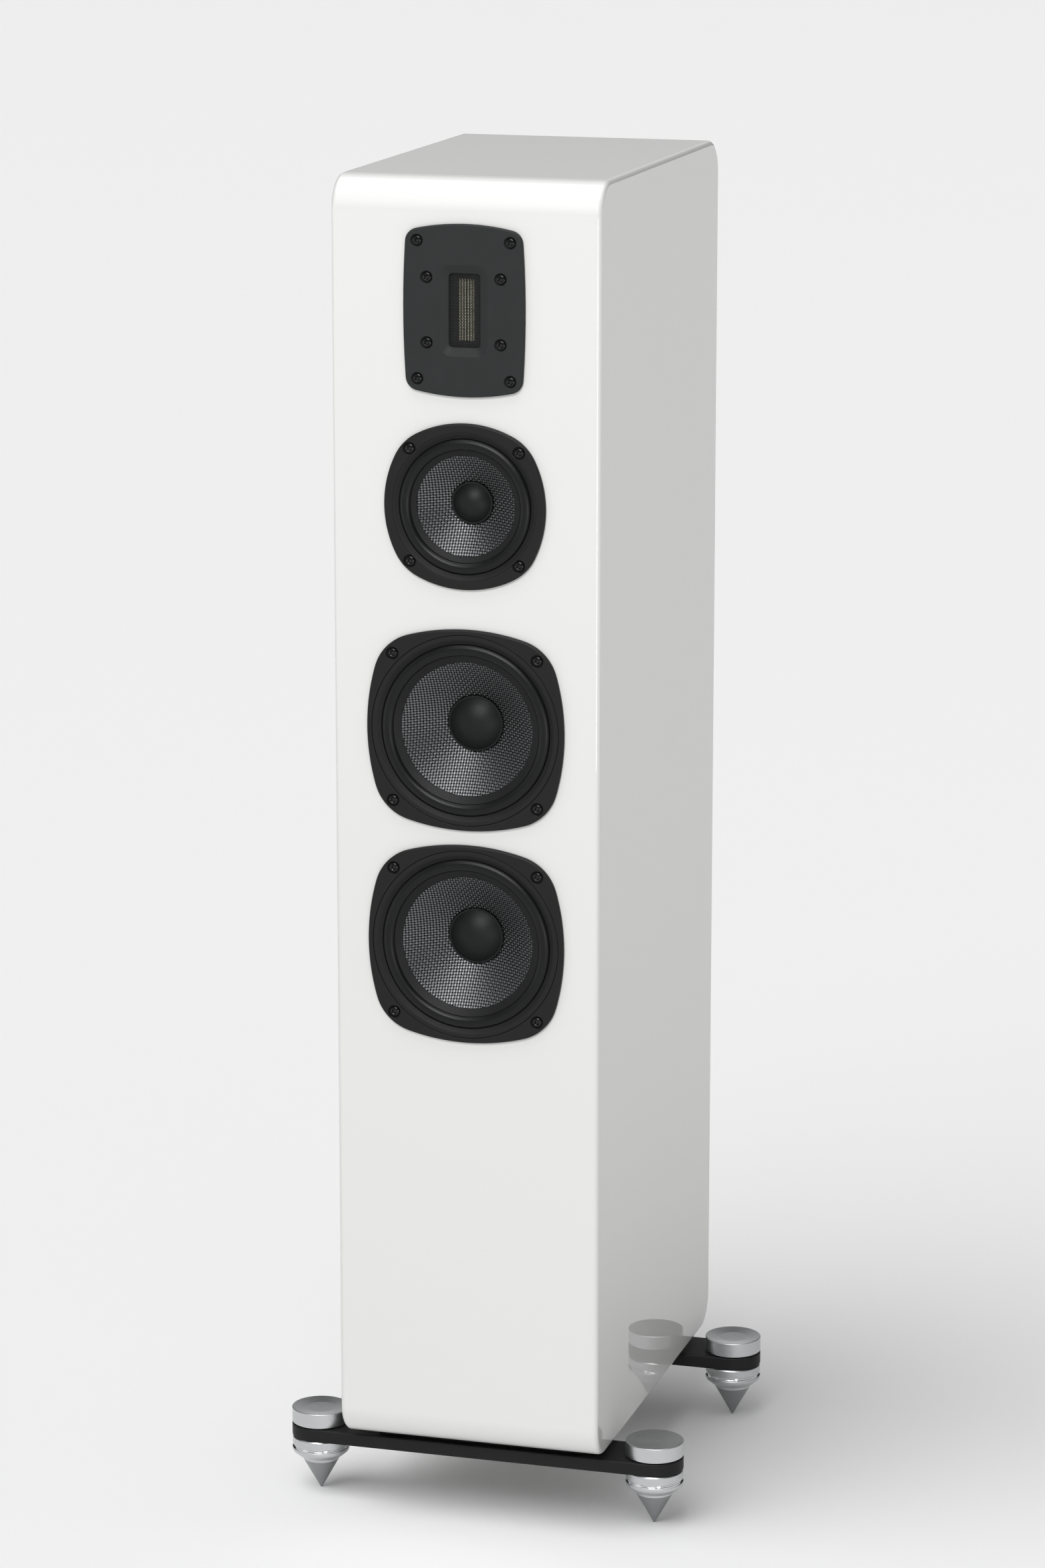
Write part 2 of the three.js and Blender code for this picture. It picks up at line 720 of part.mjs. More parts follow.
// Foil folded into fine pleats across its length.
function tweeterRibbon(front) {
  const pleats = 12;
  const pleatDepth = 1.6;
  const foilThickness = 0.3;
  const step = tweeter.ribbonLength / (2 * pleats);
  const folds = [];
  for (let i = 0; i <= 2 * pleats; i++) {
    const y = front + (i % 2 ? pleatDepth : 0);
    folds.push(new THREE.Vector2(y, i * step - tweeter.ribbonLength / 2));
  }
  const backs = folds.map((p) => new THREE.Vector2(p.x + foilThickness, p.y)).reverse();
  const half = tweeter.ribbonWidth / 2;
  return solidOf(sidewaysPlate([...folds, ...backs], -half, half));
}

function addTweeter() {
  const at = [0, FRONT, heights.tweeter];
  const { bodyWidth, bodyHeight, bodyRadius, meshBorder, coverDepth, coverWall } = tweeter;
  const body = roundedRectangle(bodyWidth, bodyHeight, bodyRadius, SMALL_CORNER_FACETS);
  const meshFront = tweeter.bossDepth + GAP;
  const meshBack = meshFront + tweeter.meshThickness;
  const meshOutline = rectangle(
    tweeter.windowWidth + 2 * meshBorder, tweeter.windowHeight + 2 * meshBorder);
  const magnetFront = meshBack + GAP;
  const magnetBack = magnetFront + tweeter.magnetDepth;
  const ribbonSlot = rectangle(tweeter.ribbonWidth + 2 * GAP, tweeter.ribbonLength + 2 * GAP);
  const coverFront = magnetBack + GAP;
  const cavity = roundedRectangle(
    bodyWidth - 2 * coverWall, bodyHeight - 2 * coverWall,
    bodyRadius - coverWall, HIDDEN_CORNER_FACETS);
  const coverBlock = uprightPlate(body, coverFront, coverFront + coverDepth);
  const coverCavity = uprightPlate(cavity, coverFront - 1, coverFront + coverDepth - coverWall);
  const magnet = uprightPlate(body, magnetFront, magnetBack, [ribbonSlot]);
  add("tweeter_faceplate", tweeterFaceplate(), charcoalPlate(), at);
  add("tweeter_mesh", solidOf(uprightPlate(meshOutline, meshFront, meshBack)), blackMesh(), at);
  add("tweeter_ribbon", tweeterRibbon(magnetFront + tweeter.ribbonInset), foil(), at);
  add("tweeter_magnet_frame", solidOf(magnet), magnetSteel(), at);
  add("tweeter_rear_cover", cut(solidOf(coverBlock), solidOf(coverCavity)), blackPlate(), at);
}

// ---------------------------------------------------------------- passive radiators

const DIAPHRAGM_FRONT = -1;
const DIAPHRAGM_BACK = 2;

function addRadiator(name, z) {
  const { straightHalf, frameOuter, frameInner, rollOuter, rollInner } = radiator;
  const around = (profile) => solidOf(racetrack(profile, RADIATOR_FACETS, straightHalf));
  const frame = around([
    [frameInner, SHELF_DEPTH],
    [radiator.neckInner, SHELF_DEPTH],
    [radiator.neckInner, -PLATE_PROUD],
    [frameOuter, -PLATE_PROUD],
    [frameOuter, -GAP],
    [radiator.neckOuter, -GAP],
    [radiator.neckOuter, NECK_END],
    [frameInner, NECK_END],
  ]);
  const rubber = around(surround({
    rollOuter,
    rollInner,
    landInner: radiator.diaphragmRadius + GAP,
    landDepth: 0,
    rim: radiator.neckInner - GAP,
  }));
  const panelRadius = radiator.diaphragmRadius;
  const panel = around([
    [0, DIAPHRAGM_FRONT],
    [panelRadius, DIAPHRAGM_FRONT],
    [panelRadius, DIAPHRAGM_BACK],
    [0, DIAPHRAGM_BACK],
  ]);
  addFacingBack(`${name}_frame`, frame, blackPlate(), z);
  addFacingBack(`${name}_surround`, rubber, blackRubber(), z);
  addFacingBack(`${name}_diaphragm`, panel, blackPlate(), z);
}

// ---------------------------------------------------------------- terminals

const LINK_THICKNESS = 1.5;
const LINK_WIDTH = 9;
const STUD_TIP = 2; // stud left showing past a nut

function addTerminals() {
  const { flange, flangeCorner, body, wall, depth, flangeProud } = terminalCup;
  const floor = depth - wall;
  const linkFront = floor - GAP - LINK_THICKNESS;
  const nutBack = linkFront - GAP;
  const nutFront = nutBack - post.nutLength;
  const studTip = nutFront - STUD_TIP;
  const half = post.spacing / 2;
  const corners = [[-half, half], [half, half], [-half, -half], [half, -half]];

  const flangePlate = uprightPlate(
    roundedRectangle(flange, flange, flangeCorner, SMALL_CORNER_FACETS), -flangeProud, -GAP);
  const box = uprightPlate(rectangle(body, body), -flangeProud / 2, depth);
  const hollow = rectangle(body - 2 * wall, body - 2 * wall);
  const cavity = uprightPlate(hollow, -2 * flangeProud, floor);
  const studs = corners.map(([x, z]) =>
    solidOf(uprightPlate(
      circle(post.studRadius, POST_FACETS, x, z), studTip, depth - wall / 2)));
  const cup = join(cut(join(solidOf(flangePlate), solidOf(box)), solidOf(cavity)), ...studs);
  addFacingBack("terminal_cup", cup, blackPlate(), heights.terminals);

  const bore = post.studRadius + GAP;
  const names = ["right_upper", "left_upper", "right_lower", "left_lower"];
  corners.forEach(([x, z], i) => {
    const nut = uprightPlate(
      circle(post.nutRadius, POST_FACETS, x, z), nutFront, nutBack,
      [circle(bore, POST_FACETS, x, z)]);
    addFacingBack(`terminal_nut_${names[i]}`, solidOf(nut), goldPlate(), heights.terminals);
  });

  for (const [side, x] of [["right", -half], ["left", half]]) {
    const outline = roundedRectangle(
      LINK_WIDTH, post.spacing + LINK_WIDTH, LINK_WIDTH / 2 - GAP, HIDDEN_CORNER_FACETS, x, 0);
    const holes = [-half, half].map((z) => circle(bore, POST_FACETS, x, z));
    const link = uprightPlate(outline, linkFront, floor - GAP, holes);
    addFacingBack(`terminal_link_${side}`, solidOf(link), goldPlate(), heights.terminals);
  }
}

// ---------------------------------------------------------------- crossover

function addCrossover() {
  const { width, depth, thickness, legHeight, legSide, legInset } = crossover;
  const boardBottom = INNER_FLOOR + legHeight;
  const boardTop = boardBottom + thickness;
  const board = flatPlate(rectangle(width, depth), boardBottom, boardTop);
  const legX = width / 2 - legInset;
  const legY = depth / 2 - legInset;
  const corners = [[-legX, -legY], [legX, -legY], [-legX, legY], [legX, legY]];
  const legs = corners.map(([x, y]) =>
    solidOf(flatPlate(
      rectangle(legSide, legSide, x, y), INNER_FLOOR + GAP, boardBottom + thickness / 2)));

  const coilBottom = boardTop + GAP;
  const ring = (radius) => circle(radius, MOTOR_FACETS, 0, crossover.inductorY);
  const coil = flatPlate(
    ring(crossover.inductorRadius), coilBottom, coilBottom + crossover.inductorHeight,
    [ring(crossover.inductorBore)]);
  add("crossover_board", join(solidOf(board), ...legs), circuitBoard());
  add("crossover_inductor", solidOf(coil), copper());
}

// ---------------------------------------------------------------- base

// Bar that reaches out past both sides of the cabinet, with a raised pad the cabinet stands on.
function outrigger() {
  const { footX, footRadius, barBottom, barTop, shaftRadius, padHalfWidth, padDepth } = base;
  const holes = [-footX, footX].map((x) => circle(shaftRadius + GAP, FOOT_FACETS, x, 0));
  const bar = flatPlate(slot(footX, footRadius, FOOT_FACETS / 2), barBottom, barTop, holes);
  const middle = (barBottom + barTop) / 2;
  const pad = flatPlate(
    rectangle(2 * padHalfWidth, padDepth), middle, cabinet.underside - GAP);
  return join(solidOf(bar), solidOf(pad));
}

const CAP_ROOF = 3; // metal left above the threaded hole of a lock cap
const SHAFT_TOP = base.capTop - CAP_ROOF - GAP;

// Turned spike: cone, grooved collar that bears on the bar, and a threaded shaft above it.
function spike() {
  const { footRadius, barBottom, shaftRadius, tipRadius, coneRadius, coneTop, collarBottom } = base;
  const collarTop = barBottom - GAP;
  const neckRadius = coneRadius + 0.5;
  const shoulderRadius = (neckRadius + footRadius) / 2;
  const flankBottom = collarBottom + 3.8;
  const grooveBottom = flankBottom + 3;
  const grooveTop = grooveBottom + 2.8;
  const grooveRadius = footRadius - 1.6;
  const chamfer = 0.6;
  return solidOf(turnedUpright([
    [0, 0],
    [tipRadius, 0],
    [coneRadius, coneTop],
    [neckRadius, collarBottom],
    [shoulderRadius, collarBottom],
    [footRadius, flankBottom],
    [footRadius, grooveBottom],
    [grooveRadius, grooveBottom + chamfer],
    [grooveRadius, grooveTop - chamfer],
    [footRadius, grooveTop],
    [footRadius, collarTop],
    [shaftRadius, collarTop],
    [shaftRadius, SHAFT_TOP],
    [0, SHAFT_TOP],
  ], FOOT_FACETS));
}

// Lock cap with a dished top and a blind threaded hole.
function lockCap() {
  const { footRadius, shaftRadius, capBottom, capTop, capDish, capChamfer } = base;
  const bore = shaftRadius + GAP;
  const boreTop = SHAFT_TOP + GAP;
  return solidOf(turnedUpright([
    [0, boreTop],
    [bore, boreTop],
    [bore, capBottom],
    [footRadius, capBottom],
    [footRadius, capTop - capChamfer],
    [footRadius - capChamfer, capTop],
    [0, capTop - capDish],
  ], FOOT_FACETS));
}

function addBase() {
  const { footX, footY } = base;
  for (const [row, y] of [["front", -footY], ["rear", footY]]) {
    add(`outrigger_${row}`, outrigger(), barPaint(), [0, y, 0]);
    for (const [side, x] of [["left", -footX], ["right", footX]]) {
      add(`foot_spike_${row}_${side}`, spike(), satinAluminium(), [x, y, 0]);
      add(`foot_cap_${row}_${side}`, lockCap(), satinAluminium(), [x, y, 0]);
    }
  }
}

addCabinet();
addTweeter();
addDriver("mid", midrange, heights.midrange);
addDriver("woofer_upper", woofer, heights.wooferUpper);
addDriver("woofer_lower", woofer, heights.wooferLower);
addRadiator("radiator_upper", heights.radiatorUpper);
addRadiator("radiator_lower", heights.radiatorLower);
addTerminals();
addCrossover();
addBase();

export default speaker;
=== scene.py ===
"""A white floorstanding loudspeaker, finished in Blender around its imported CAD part.

Every piece is in metres in the frame of the CAD part: X to the right of someone facing the front,
Y towards the back and Z up, with the floor at zero. A piece that is turned about an axis is drawn
as a profile of (radius, depth) points, and depth runs from the face it is mounted on into the cabinet.
"""

import math

import bmesh
import bpy
import numpy as np
from mathutils import Matrix, Vector


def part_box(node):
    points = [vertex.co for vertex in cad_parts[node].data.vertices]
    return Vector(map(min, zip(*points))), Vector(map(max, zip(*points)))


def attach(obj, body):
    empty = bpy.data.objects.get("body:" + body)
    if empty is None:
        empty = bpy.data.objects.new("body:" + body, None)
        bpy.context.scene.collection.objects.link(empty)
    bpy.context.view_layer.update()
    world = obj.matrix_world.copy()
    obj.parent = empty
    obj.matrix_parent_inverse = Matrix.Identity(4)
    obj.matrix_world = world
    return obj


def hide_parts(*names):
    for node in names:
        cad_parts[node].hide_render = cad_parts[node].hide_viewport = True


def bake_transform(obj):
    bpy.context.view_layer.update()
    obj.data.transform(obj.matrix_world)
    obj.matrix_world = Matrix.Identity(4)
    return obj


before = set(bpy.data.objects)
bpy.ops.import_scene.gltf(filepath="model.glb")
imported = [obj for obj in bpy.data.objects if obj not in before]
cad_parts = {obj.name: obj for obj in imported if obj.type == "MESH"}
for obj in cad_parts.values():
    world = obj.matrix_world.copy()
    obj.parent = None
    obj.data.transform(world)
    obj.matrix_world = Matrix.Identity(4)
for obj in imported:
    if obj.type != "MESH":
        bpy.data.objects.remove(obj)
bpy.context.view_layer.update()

MM = 0.001
GAP = 0.3 * MM  # clearance between neighbouring CAD pieces
FULL_TURN = 2 * math.pi

FRONT_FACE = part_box("cabinet_wrap")[0].y
BACK_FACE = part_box("cabinet_wrap")[1].y

# What the frame doesn't say about a driver: the arcs of its plate, the land round its cone and how
# far its screws are from its middle.
MID_SHAPE = {"side_radius": 80 * MM, "corner_radius": 36 * MM, "land": 4.1 * MM, "screw": 40.8 * MM}
WOOFER_SHAPE = {"side_radius": 160 * MM, "corner_radius": 35 * MM, "land": 5.3 * MM, "screw": 54.4 * MM}

DRIVERS = {"mid": MID_SHAPE, "woofer_upper": WOOFER_SHAPE, "woofer_lower": WOOFER_SHAPE}
RADIATORS = ("radiator_upper", "radiator_lower")
FEET = ("front_left", "front_right", "rear_left", "rear_right")
NUTS = ("left_upper", "left_lower", "right_upper", "right_lower")


# ------------------------------------------------------------------ camera, light and floor

# Brightness of each light, where 1 is white in the picture: that of a softbox's own face or of the
# world around, and for a sun that of a white card facing it.
KEY_RADIANCE = 14.6
OVERHEAD_RADIANCE = 3.0
RIGHT_RADIANCE = 7.0
LEFT_RADIANCE = 1.0
BACK_HIGH_RADIANCE = 0.4
BACK_LOW_RADIANCE = 0.9
FLOOR_SUN_RADIANCE = 0.65
FLOOR_SKY_RADIANCE = 0.42
WORLD_RADIANCE = 0.03


def add_camera():
    """A long lens at the front right, a little above the top of the speaker."""
    aim = Vector((-0.007, 0, 0.533))
    azimuth = math.radians(16.26)
    elevation = math.radians(12.98)
    distance = 3.757
    away = Vector((
        math.sin(azimuth) * math.cos(elevation),
        -math.cos(azimuth) * math.cos(elevation),
        math.sin(elevation),
    ))
    data = bpy.data.cameras.new("camera")
    data.lens = 113.83
    data.sensor_width = 36
    camera = bpy.data.objects.new("camera", data)
    camera.location = aim + away * distance
    camera.rotation_mode = "QUATERNION"
    camera.rotation_quaternion = (-away).to_track_quat("-Z", "Y")
    bpy.context.scene.collection.objects.link(camera)
    bpy.context.scene.camera = camera


def link_light(light, target, state):
    """Let a light reach only the target ("INCLUDE") or everything else ("EXCLUDE")."""
    group = bpy.data.collections.new(f"{light.name}_targets")
    group.objects.link(target)
    group.collection_objects[0].light_linking.link_state = state
    light.light_linking.receiver_collection = group


def add_light(data, place, aim):
    light = bpy.data.objects.new(data.name, data)
    light.location = place
    light.rotation_mode = "QUATERNION"
    light.rotation_quaternion = (Vector(aim) - Vector(place)).to_track_quat("-Z", "Y")
    light.visible_camera = False
    bpy.context.scene.collection.objects.link(light)
    return light


def add_softbox(name, place, width, height, radiance, aim=(0, 0, 0.55)):
    """A rectangular studio light whose front has the given radiance."""
    data = bpy.data.lights.new(name, "AREA")
    data.shape = "RECTANGLE"
    data.size = width
    data.size_y = height
    data.energy = radiance * math.pi * width * height
    return add_light(data, place, aim)


def add_sun(name, place, angle, radiance):
    """An even light from one side of the sky, whose angle in degrees softens its shadows."""
    data = bpy.data.lights.new(name, "SUN")
    data.energy = radiance * math.pi
    data.angle = math.radians(angle)
    return add_light(data, place, (0, 0, 0))


def add_studio():
    """A key light above the lens, a box overhead, cards round about and an even light on the floor."""
    floor = add_floor()
    boxes = [
        add_softbox("key", (0.3, -5.4, 4.2), 3.0, 2.2, KEY_RADIANCE),
        add_softbox("overhead", (0, -0.3, 4.6), 4.2, 4.2, OVERHEAD_RADIANCE),
        add_softbox("right_card", (1.5, -2.3, 0.36), 0.6, 0.7, RIGHT_RADIANCE),
        add_softbox("left_card", (-2.3, -1.6, 0.9), 1.2, 2.0, LEFT_RADIANCE),
        add_softbox("back_card_high", (-1.0, 4.0, 1.7), 2.6, 1.6, BACK_HIGH_RADIANCE),
        add_softbox("back_card_low", (-1.0, 4.0, 0.42), 2.6, 0.8, BACK_LOW_RADIANCE),
    ]
    for box in boxes:
        link_light(box, floor, "EXCLUDE")
    suns = [
        add_sun("floor_sun", (-0.6, -0.9, 1.5), 60, FLOOR_SUN_RADIANCE),
        add_sun("floor_sky", (0, -0.4, 1.0), 170, FLOOR_SKY_RADIANCE),
    ]
    for sun in suns:
        link_light(sun, floor, "INCLUDE")
    world = bpy.data.worlds.new("studio")
    world.use_nodes = True
    background = world.node_tree.nodes["Background"]
    background.inputs["Color"].default_value = (1, 1, 1, 1)
    background.inputs["Strength"].default_value = WORLD_RADIANCE
    bpy.context.scene.world = world
    bpy.context.scene.view_settings.view_transform = "Standard"


def add_floor():
    half = 40
    corners = [(-half, -half, 0), (half, -half, 0), (half, half, 0), (-half, half, 0)]
    mesh = bpy.data.meshes.new("floor")
    mesh.from_pydata(corners, [], [(0, 1, 2, 3)])
    mesh.materials.append(floor_paint())
    floor = bpy.data.objects.new("floor", mesh)
    bpy.context.scene.collection.objects.link(floor)
    return floor


# ------------------------------------------------------------------ node helpers


def new_material(name, colour, roughness, metallic=0.0, **sockets):
    """A Principled material. Other sockets are given as Name_with_underscores=value."""
    material = bpy.data.materials.new(name)
    material.use_nodes = True
    shader = material.node_tree.nodes["Principled BSDF"]
    shader.inputs["Base Color"].default_value = (*colour, 1)
    shader.inputs["Roughness"].default_value = roughness
    shader.inputs["Metallic"].default_value = metallic
    for socket, value in sockets.items():
        shader.inputs[socket.replace("_", " ")].default_value = value
    return material


def add_node(material, kind, inputs=None, **settings):
    """A node whose inputs are set from a dict: a socket is linked and a number is set."""
    node = material.node_tree.nodes.new(kind)
    for setting, value in settings.items():
        setattr(node, setting, value)
    for key, value in (inputs or {}).items():
        if isinstance(value, bpy.types.NodeSocket):
            material.node_tree.links.new(value, node.inputs[key])
        else:
            node.inputs[key].default_value = value
    return node


def feed(material, socket, value):
    shader = material.node_tree.nodes["Principled BSDF"]
    material.node_tree.links.new(value, shader.inputs[socket])


def calc(material, operation, *values):
    node = add_node(material, "ShaderNodeMath", dict(enumerate(values)), operation=operation)
    return node.outputs[0]


def object_point(material):
    return add_node(material, "ShaderNodeTexCoord").outputs["Object"]


def axes_of(material, point):
    node = add_node(material, "ShaderNodeSeparateXYZ", {0: point})
    return node.outputs["X"], node.outputs["Y"], node.outputs["Z"]


def noise(material, size, detail=2.0, stretch=(1, 1, 1)):
    """Cloudy values from 0 to 1 whose blobs are about `size` metres across."""
    scaled = add_node(
        material, "ShaderNodeVectorMath",
        {0: object_point(material), 1: stretch}, operation="MULTIPLY").outputs[0]
    inputs = {"Vector": scaled, "Scale": 1 / size, "Detail": detail}
    return add_node(material, "ShaderNodeTexNoise", inputs).outputs["Fac"]


def spread(material, value, low, high):
    """Map values near a half, from about 0.3 to 0.7, to the range low to high."""
    inputs = {0: value, 1: 0.3, 2: 0.7, 3: low, 4: high}
    return add_node(material, "ShaderNodeMapRange", inputs).outputs[0]


def vary_colour(material, value, dark, light):
    """Base colour that goes from dark to light as the value goes from 0 to 1."""
    mix = add_node(material, "ShaderNodeMix", data_type="RGBA")
    material.node_tree.links.new(value, mix.inputs["Factor"])
    low, high = [socket for socket in mix.inputs if socket.type == "RGBA"]
    low.default_value = (*dark, 1)
    high.default_value = (*light, 1)
    result = next(socket for socket in mix.outputs if socket.type == "RGBA")
    feed(material, "Base Color", result)


def bump(material, height, depth, strength=1.0):
    """Relief of `depth` metres where the height value goes from 0 to 1."""
    inputs = {"Height": height, "Distance": depth, "Strength": strength}
    feed(material, "Normal", add_node(material, "ShaderNodeBump", inputs).outputs[0])


def shade(colour, factor):
    return tuple(c * factor for c in colour)


def grained(name, colour, roughness, grain, depth, metallic=0.0, contrast=0.12, **sockets):
    """A finish with a fine grain in its colour, its gloss and its surface."""
    material = new_material(name, colour, roughness, metallic, **sockets)
    fine = noise(material, grain)
    broad = noise(material, 25 * grain, 3)
    vary_colour(material, broad, shade(colour, 1 - contrast), shade(colour, 1 + contrast))
    feed(material, "Roughness", spread(material, fine, roughness * 0.88, roughness * 1.12))
    bump(material, fine, depth)
    return material


# ------------------------------------------------------------------ materials


def floor_paint():
    colour = (0.93, 0.93, 0.93)
    material = new_material("floor_paint", colour, 0.9)
    vary_colour(material, noise(material, 0.6, 3), shade(colour, 0.995), colour)
    return material


def white_lacquer():
    """Polished lacquer over a white base coat, with a trace of orange peel."""
    colour = (0.64, 0.64, 0.63)
    material = new_material(
        "white_lacquer", colour, 0.45, Coat_Weight=1.0, Coat_Roughness=0.02, Coat_IOR=1.5)
    vary_colour(material, noise(material, 0.35, 2), shade(colour, 0.992), colour)
    peel = noise(material, 6 * MM, 1)
    inputs = {"Height": peel, "Distance": 0.004 * MM, "Strength": 1.0}
    feed(material, "Coat Normal", add_node(material, "ShaderNodeBump", inputs).outputs[0])
    return material


def turned_metal(name, colour, roughness, line_pitch, line_depth, axis):
    """Satin metal with fine rings left by the lathe, about the object's own `axis`."""
    material = new_material(name, colour, roughness, 1.0, Anisotropic=0.35)
    x, y, z = axes_of(material, object_point(material))
    across = {"Z": (x, y), "Y": (x, z)}[axis]
    squares = [calc(material, "MULTIPLY", value, value) for value in across]
    radius = calc(material, "SQRT", calc(material, "ADD", *squares))
    along = {"Z": z, "Y": y}[axis]
    place = calc(material, "ADD", radius, along)
    streaks = add_node(
        material, "ShaderNodeTexNoise",
        {"W": place, "Scale": 1 / line_pitch, "Detail": 3.0}, noise_dimensions="1D").outputs["Fac"]
    feed(material, "Roughness", spread(material, streaks, roughness * 0.8, roughness * 1.2))
    vary_colour(material, noise(material, 12 * MM, 2), shade(colour, 0.98), shade(colour, 1.02))
    bump(material, streaks, line_depth)
    tangent = add_node(material, "ShaderNodeTangent", direction_type="RADIAL", axis=axis)
    feed(material, "Tangent", tangent.outputs[0])
    return material


def woven_fibre(pitch):
    """Plain weave of bright yarns along the object's X and Z, set in black resin.

    A yarn is a bundle of parallel fibres, so its highlight is drawn out across the yarn. Its colour holds
    painted light as well: it is bright only on the crest of each float, a painted highlight, and near
    black in the hollows, partly the resin and partly painted shade where the yarns dip.
    """
    material = new_material("woven_fibre", (0.08, 0.08, 0.08), 0.4, 1.0, Anisotropic=0.75)
    x, _, z = axes_of(material, object_point(material))
    u = calc(material, "DIVIDE", x, pitch)
    v = calc(material, "DIVIDE", z, pitch)

    def yarn(across, along, phase):
        """Height of the yarns counted by `across`: their round section, lifted over every other one."""
        offset = calc(material, "SUBTRACT", calc(material, "FRACT", across), 0.5)
        inside = calc(material, "MULTIPLY", calc(material, "MULTIPLY", offset, offset), 3.9)
        section = calc(material, "SQRT", calc(material, "SUBTRACT", 1.0, inside))
        turns = calc(material, "ADD", calc(material, "FLOOR", across), along)
        angle = calc(material, "MULTIPLY", calc(material, "ADD", turns, phase), math.pi)
        return calc(material, "MULTIPLY_ADD", calc(material, "SINE", angle), 0.42, section)

    upright = yarn(u, v, 0.0)
    level = yarn(v, u, 1.0)
    height = calc(material, "MAXIMUM", upright, level)
    # Painted light: the colour is bright on the crest of each float, a painted highlight, and near black
    # in the hollows, partly black resin and partly painted shade. The same mask sets the roughness.
    painted_crest_light_and_hollow_shade = add_node(material, "ShaderNodeMapRange", {0: height, 1: 0.8, 2: 1.35}).outputs[0]
    vary_colour(material, painted_crest_light_and_hollow_shade, (0.003, 0.003, 0.0034), (0.23, 0.234, 0.24))
    rough = add_node(material, "ShaderNodeMapRange", {0: painted_crest_light_and_hollow_shade, 3: 0.6, 4: 0.36}).outputs[0]
    feed(material, "Roughness", rough)
    bump(material, height, 0.28 * MM)
    upright_on_top = calc(material, "GREATER_THAN", upright, level)
    level_on_top = calc(material, "SUBTRACT", 1.0, upright_on_top)
    direction = add_node(
        material, "ShaderNodeCombineXYZ", {"X": level_on_top, "Z": upright_on_top}).outputs[0]
    along_yarn = add_node(
        material, "ShaderNodeVectorTransform", {0: direction},
        vector_type="VECTOR", convert_from="OBJECT", convert_to="WORLD").outputs[0]
    feed(material, "Tangent", along_yarn)
    return material


def land_rubber():
    """The flat part of a surround: duller than its roll."""
    colour = (0.006, 0.0062, 0.0066)
    material = new_material("land_rubber", colour, 0.5, Specular_IOR_Level=0.2)
    fine = noise(material, 0.8 * MM)
    feed(material, "Roughness", spread(material, fine, 0.46, 0.54))
    vary_colour(material, noise(material, 12 * MM, 3), shade(colour, 0.85), shade(colour, 1.15))
    bump(material, fine, 0.01 * MM)
    return material


def ribbon_foil():
    """Aluminium foil painted with upright stripes: pale gold bands of painted sheen, and dark bands of
    painted shade where the gauze's wires stand in front.
    """
    stripe_pitch = 2 * MM
    material = new_material("ribbon_foil", (0.8, 0.77, 0.58), 0.42, 0.3)
    x, _, _ = axes_of(material, object_point(material))
    place = calc(material, "FRACT", calc(material, "DIVIDE", x, stripe_pitch))
    from_middle = calc(material, "ABSOLUTE", calc(material, "SUBTRACT", place, 0.5))
    # Painted light: pale gold stripes of painted sheen, with dark stripes of painted shade from the
    # gauze's wires between them.
    sheen_stripe = add_node(
        material, "ShaderNodeMapRange", {0: from_middle, 1: 0.2, 2: 0.3, 3: 1.0, 4: 0.0}).outputs[0]
    vary_colour(material, sheen_stripe, (0.05, 0.048, 0.04), (0.8, 0.77, 0.58))
    crinkle = noise(material, 1.5 * MM, 3)
    feed(material, "Roughness", spread(material, crinkle, 0.3, 0.48))
    bump(material, crinkle, 0.05 * MM)
    return material


def wound_copper():
    """Enamelled wire in close turns along the object's depth, with painted shade in the grooves between
    the turns.
    """
    material = new_material("copper_wire", (0.62, 0.28, 0.13), 0.32, 1.0)
    _, y, _ = axes_of(material, object_point(material))
    turns = calc(material, "SINE", calc(material, "MULTIPLY", y, FULL_TURN / (0.6 * MM)))
    turn_height_and_shade = calc(material, "MULTIPLY_ADD", turns, 0.5, 0.5)
    # Painted shade: the colour darkens in the grooves between the turns and lightens on their tops.
    vary_colour(material, turn_height_and_shade, (0.3, 0.11, 0.05), (0.68, 0.32, 0.15))
    feed(material, "Roughness", spread(material, noise(material, 3 * MM), 0.26, 0.38))
    bump(material, turn_height_and_shade, 0.12 * MM)
    return material


def fibreboard():
    colour = (0.42, 0.29, 0.17)
    material = new_material("bare_board", colour, 0.85)
    fibres = noise(material, 1.2 * MM, 4, stretch=(1, 0.4, 1))
    vary_colour(material, fibres, shade(colour, 0.78), shade(colour, 1.18))
    feed(material, "Roughness", spread(material, fibres, 0.78, 0.92))
    bump(material, fibres, 0.08 * MM)
    return material


def impregnated_cloth():
    """Coarse cloth stiffened with resin, with painted shade in the low parts of its weave."""
    thread = 0.8 * MM
    material = new_material("spider_cloth", (0.5, 0.33, 0.1), 0.8)
    x, _, z = axes_of(material, object_point(material))
    scaled = [calc(material, "MULTIPLY", value, FULL_TURN / thread) for value in (x, z)]
    waves = [calc(material, "SINE", value) for value in scaled]
    weave = calc(material, "MULTIPLY_ADD", calc(material, "MULTIPLY", *waves), 0.5, 0.5)
    # Painted shade: the colour darkens where the weave is low and lightens where it is high.
    vary_colour(material, weave, (0.3, 0.19, 0.055), (0.55, 0.37, 0.12))
    feed(material, "Roughness", spread(material, weave, 0.72, 0.88))
    bump(material, weave, 0.15 * MM)
    return material


def circuit_laminate():
    colour = (0.02, 0.09, 0.04)
    material = new_material("circuit_board", colour, 0.4)
    cells = add_node(
        material, "ShaderNodeTexVoronoi",
        {"Vector": object_point(material), "Scale": 1 / (9 * MM)}).outputs["Distance"]
    vary_colour(material, cells, shade(colour, 0.8), (0.05, 0.2, 0.09))
    feed(material, "Roughness", spread(material, cells, 0.34, 0.46))
    bump(material, cells, 0.03 * MM)
    return material


MATT = {"Specular_IOR_Level": 0.22}
METAL = {"metallic": 1.0}

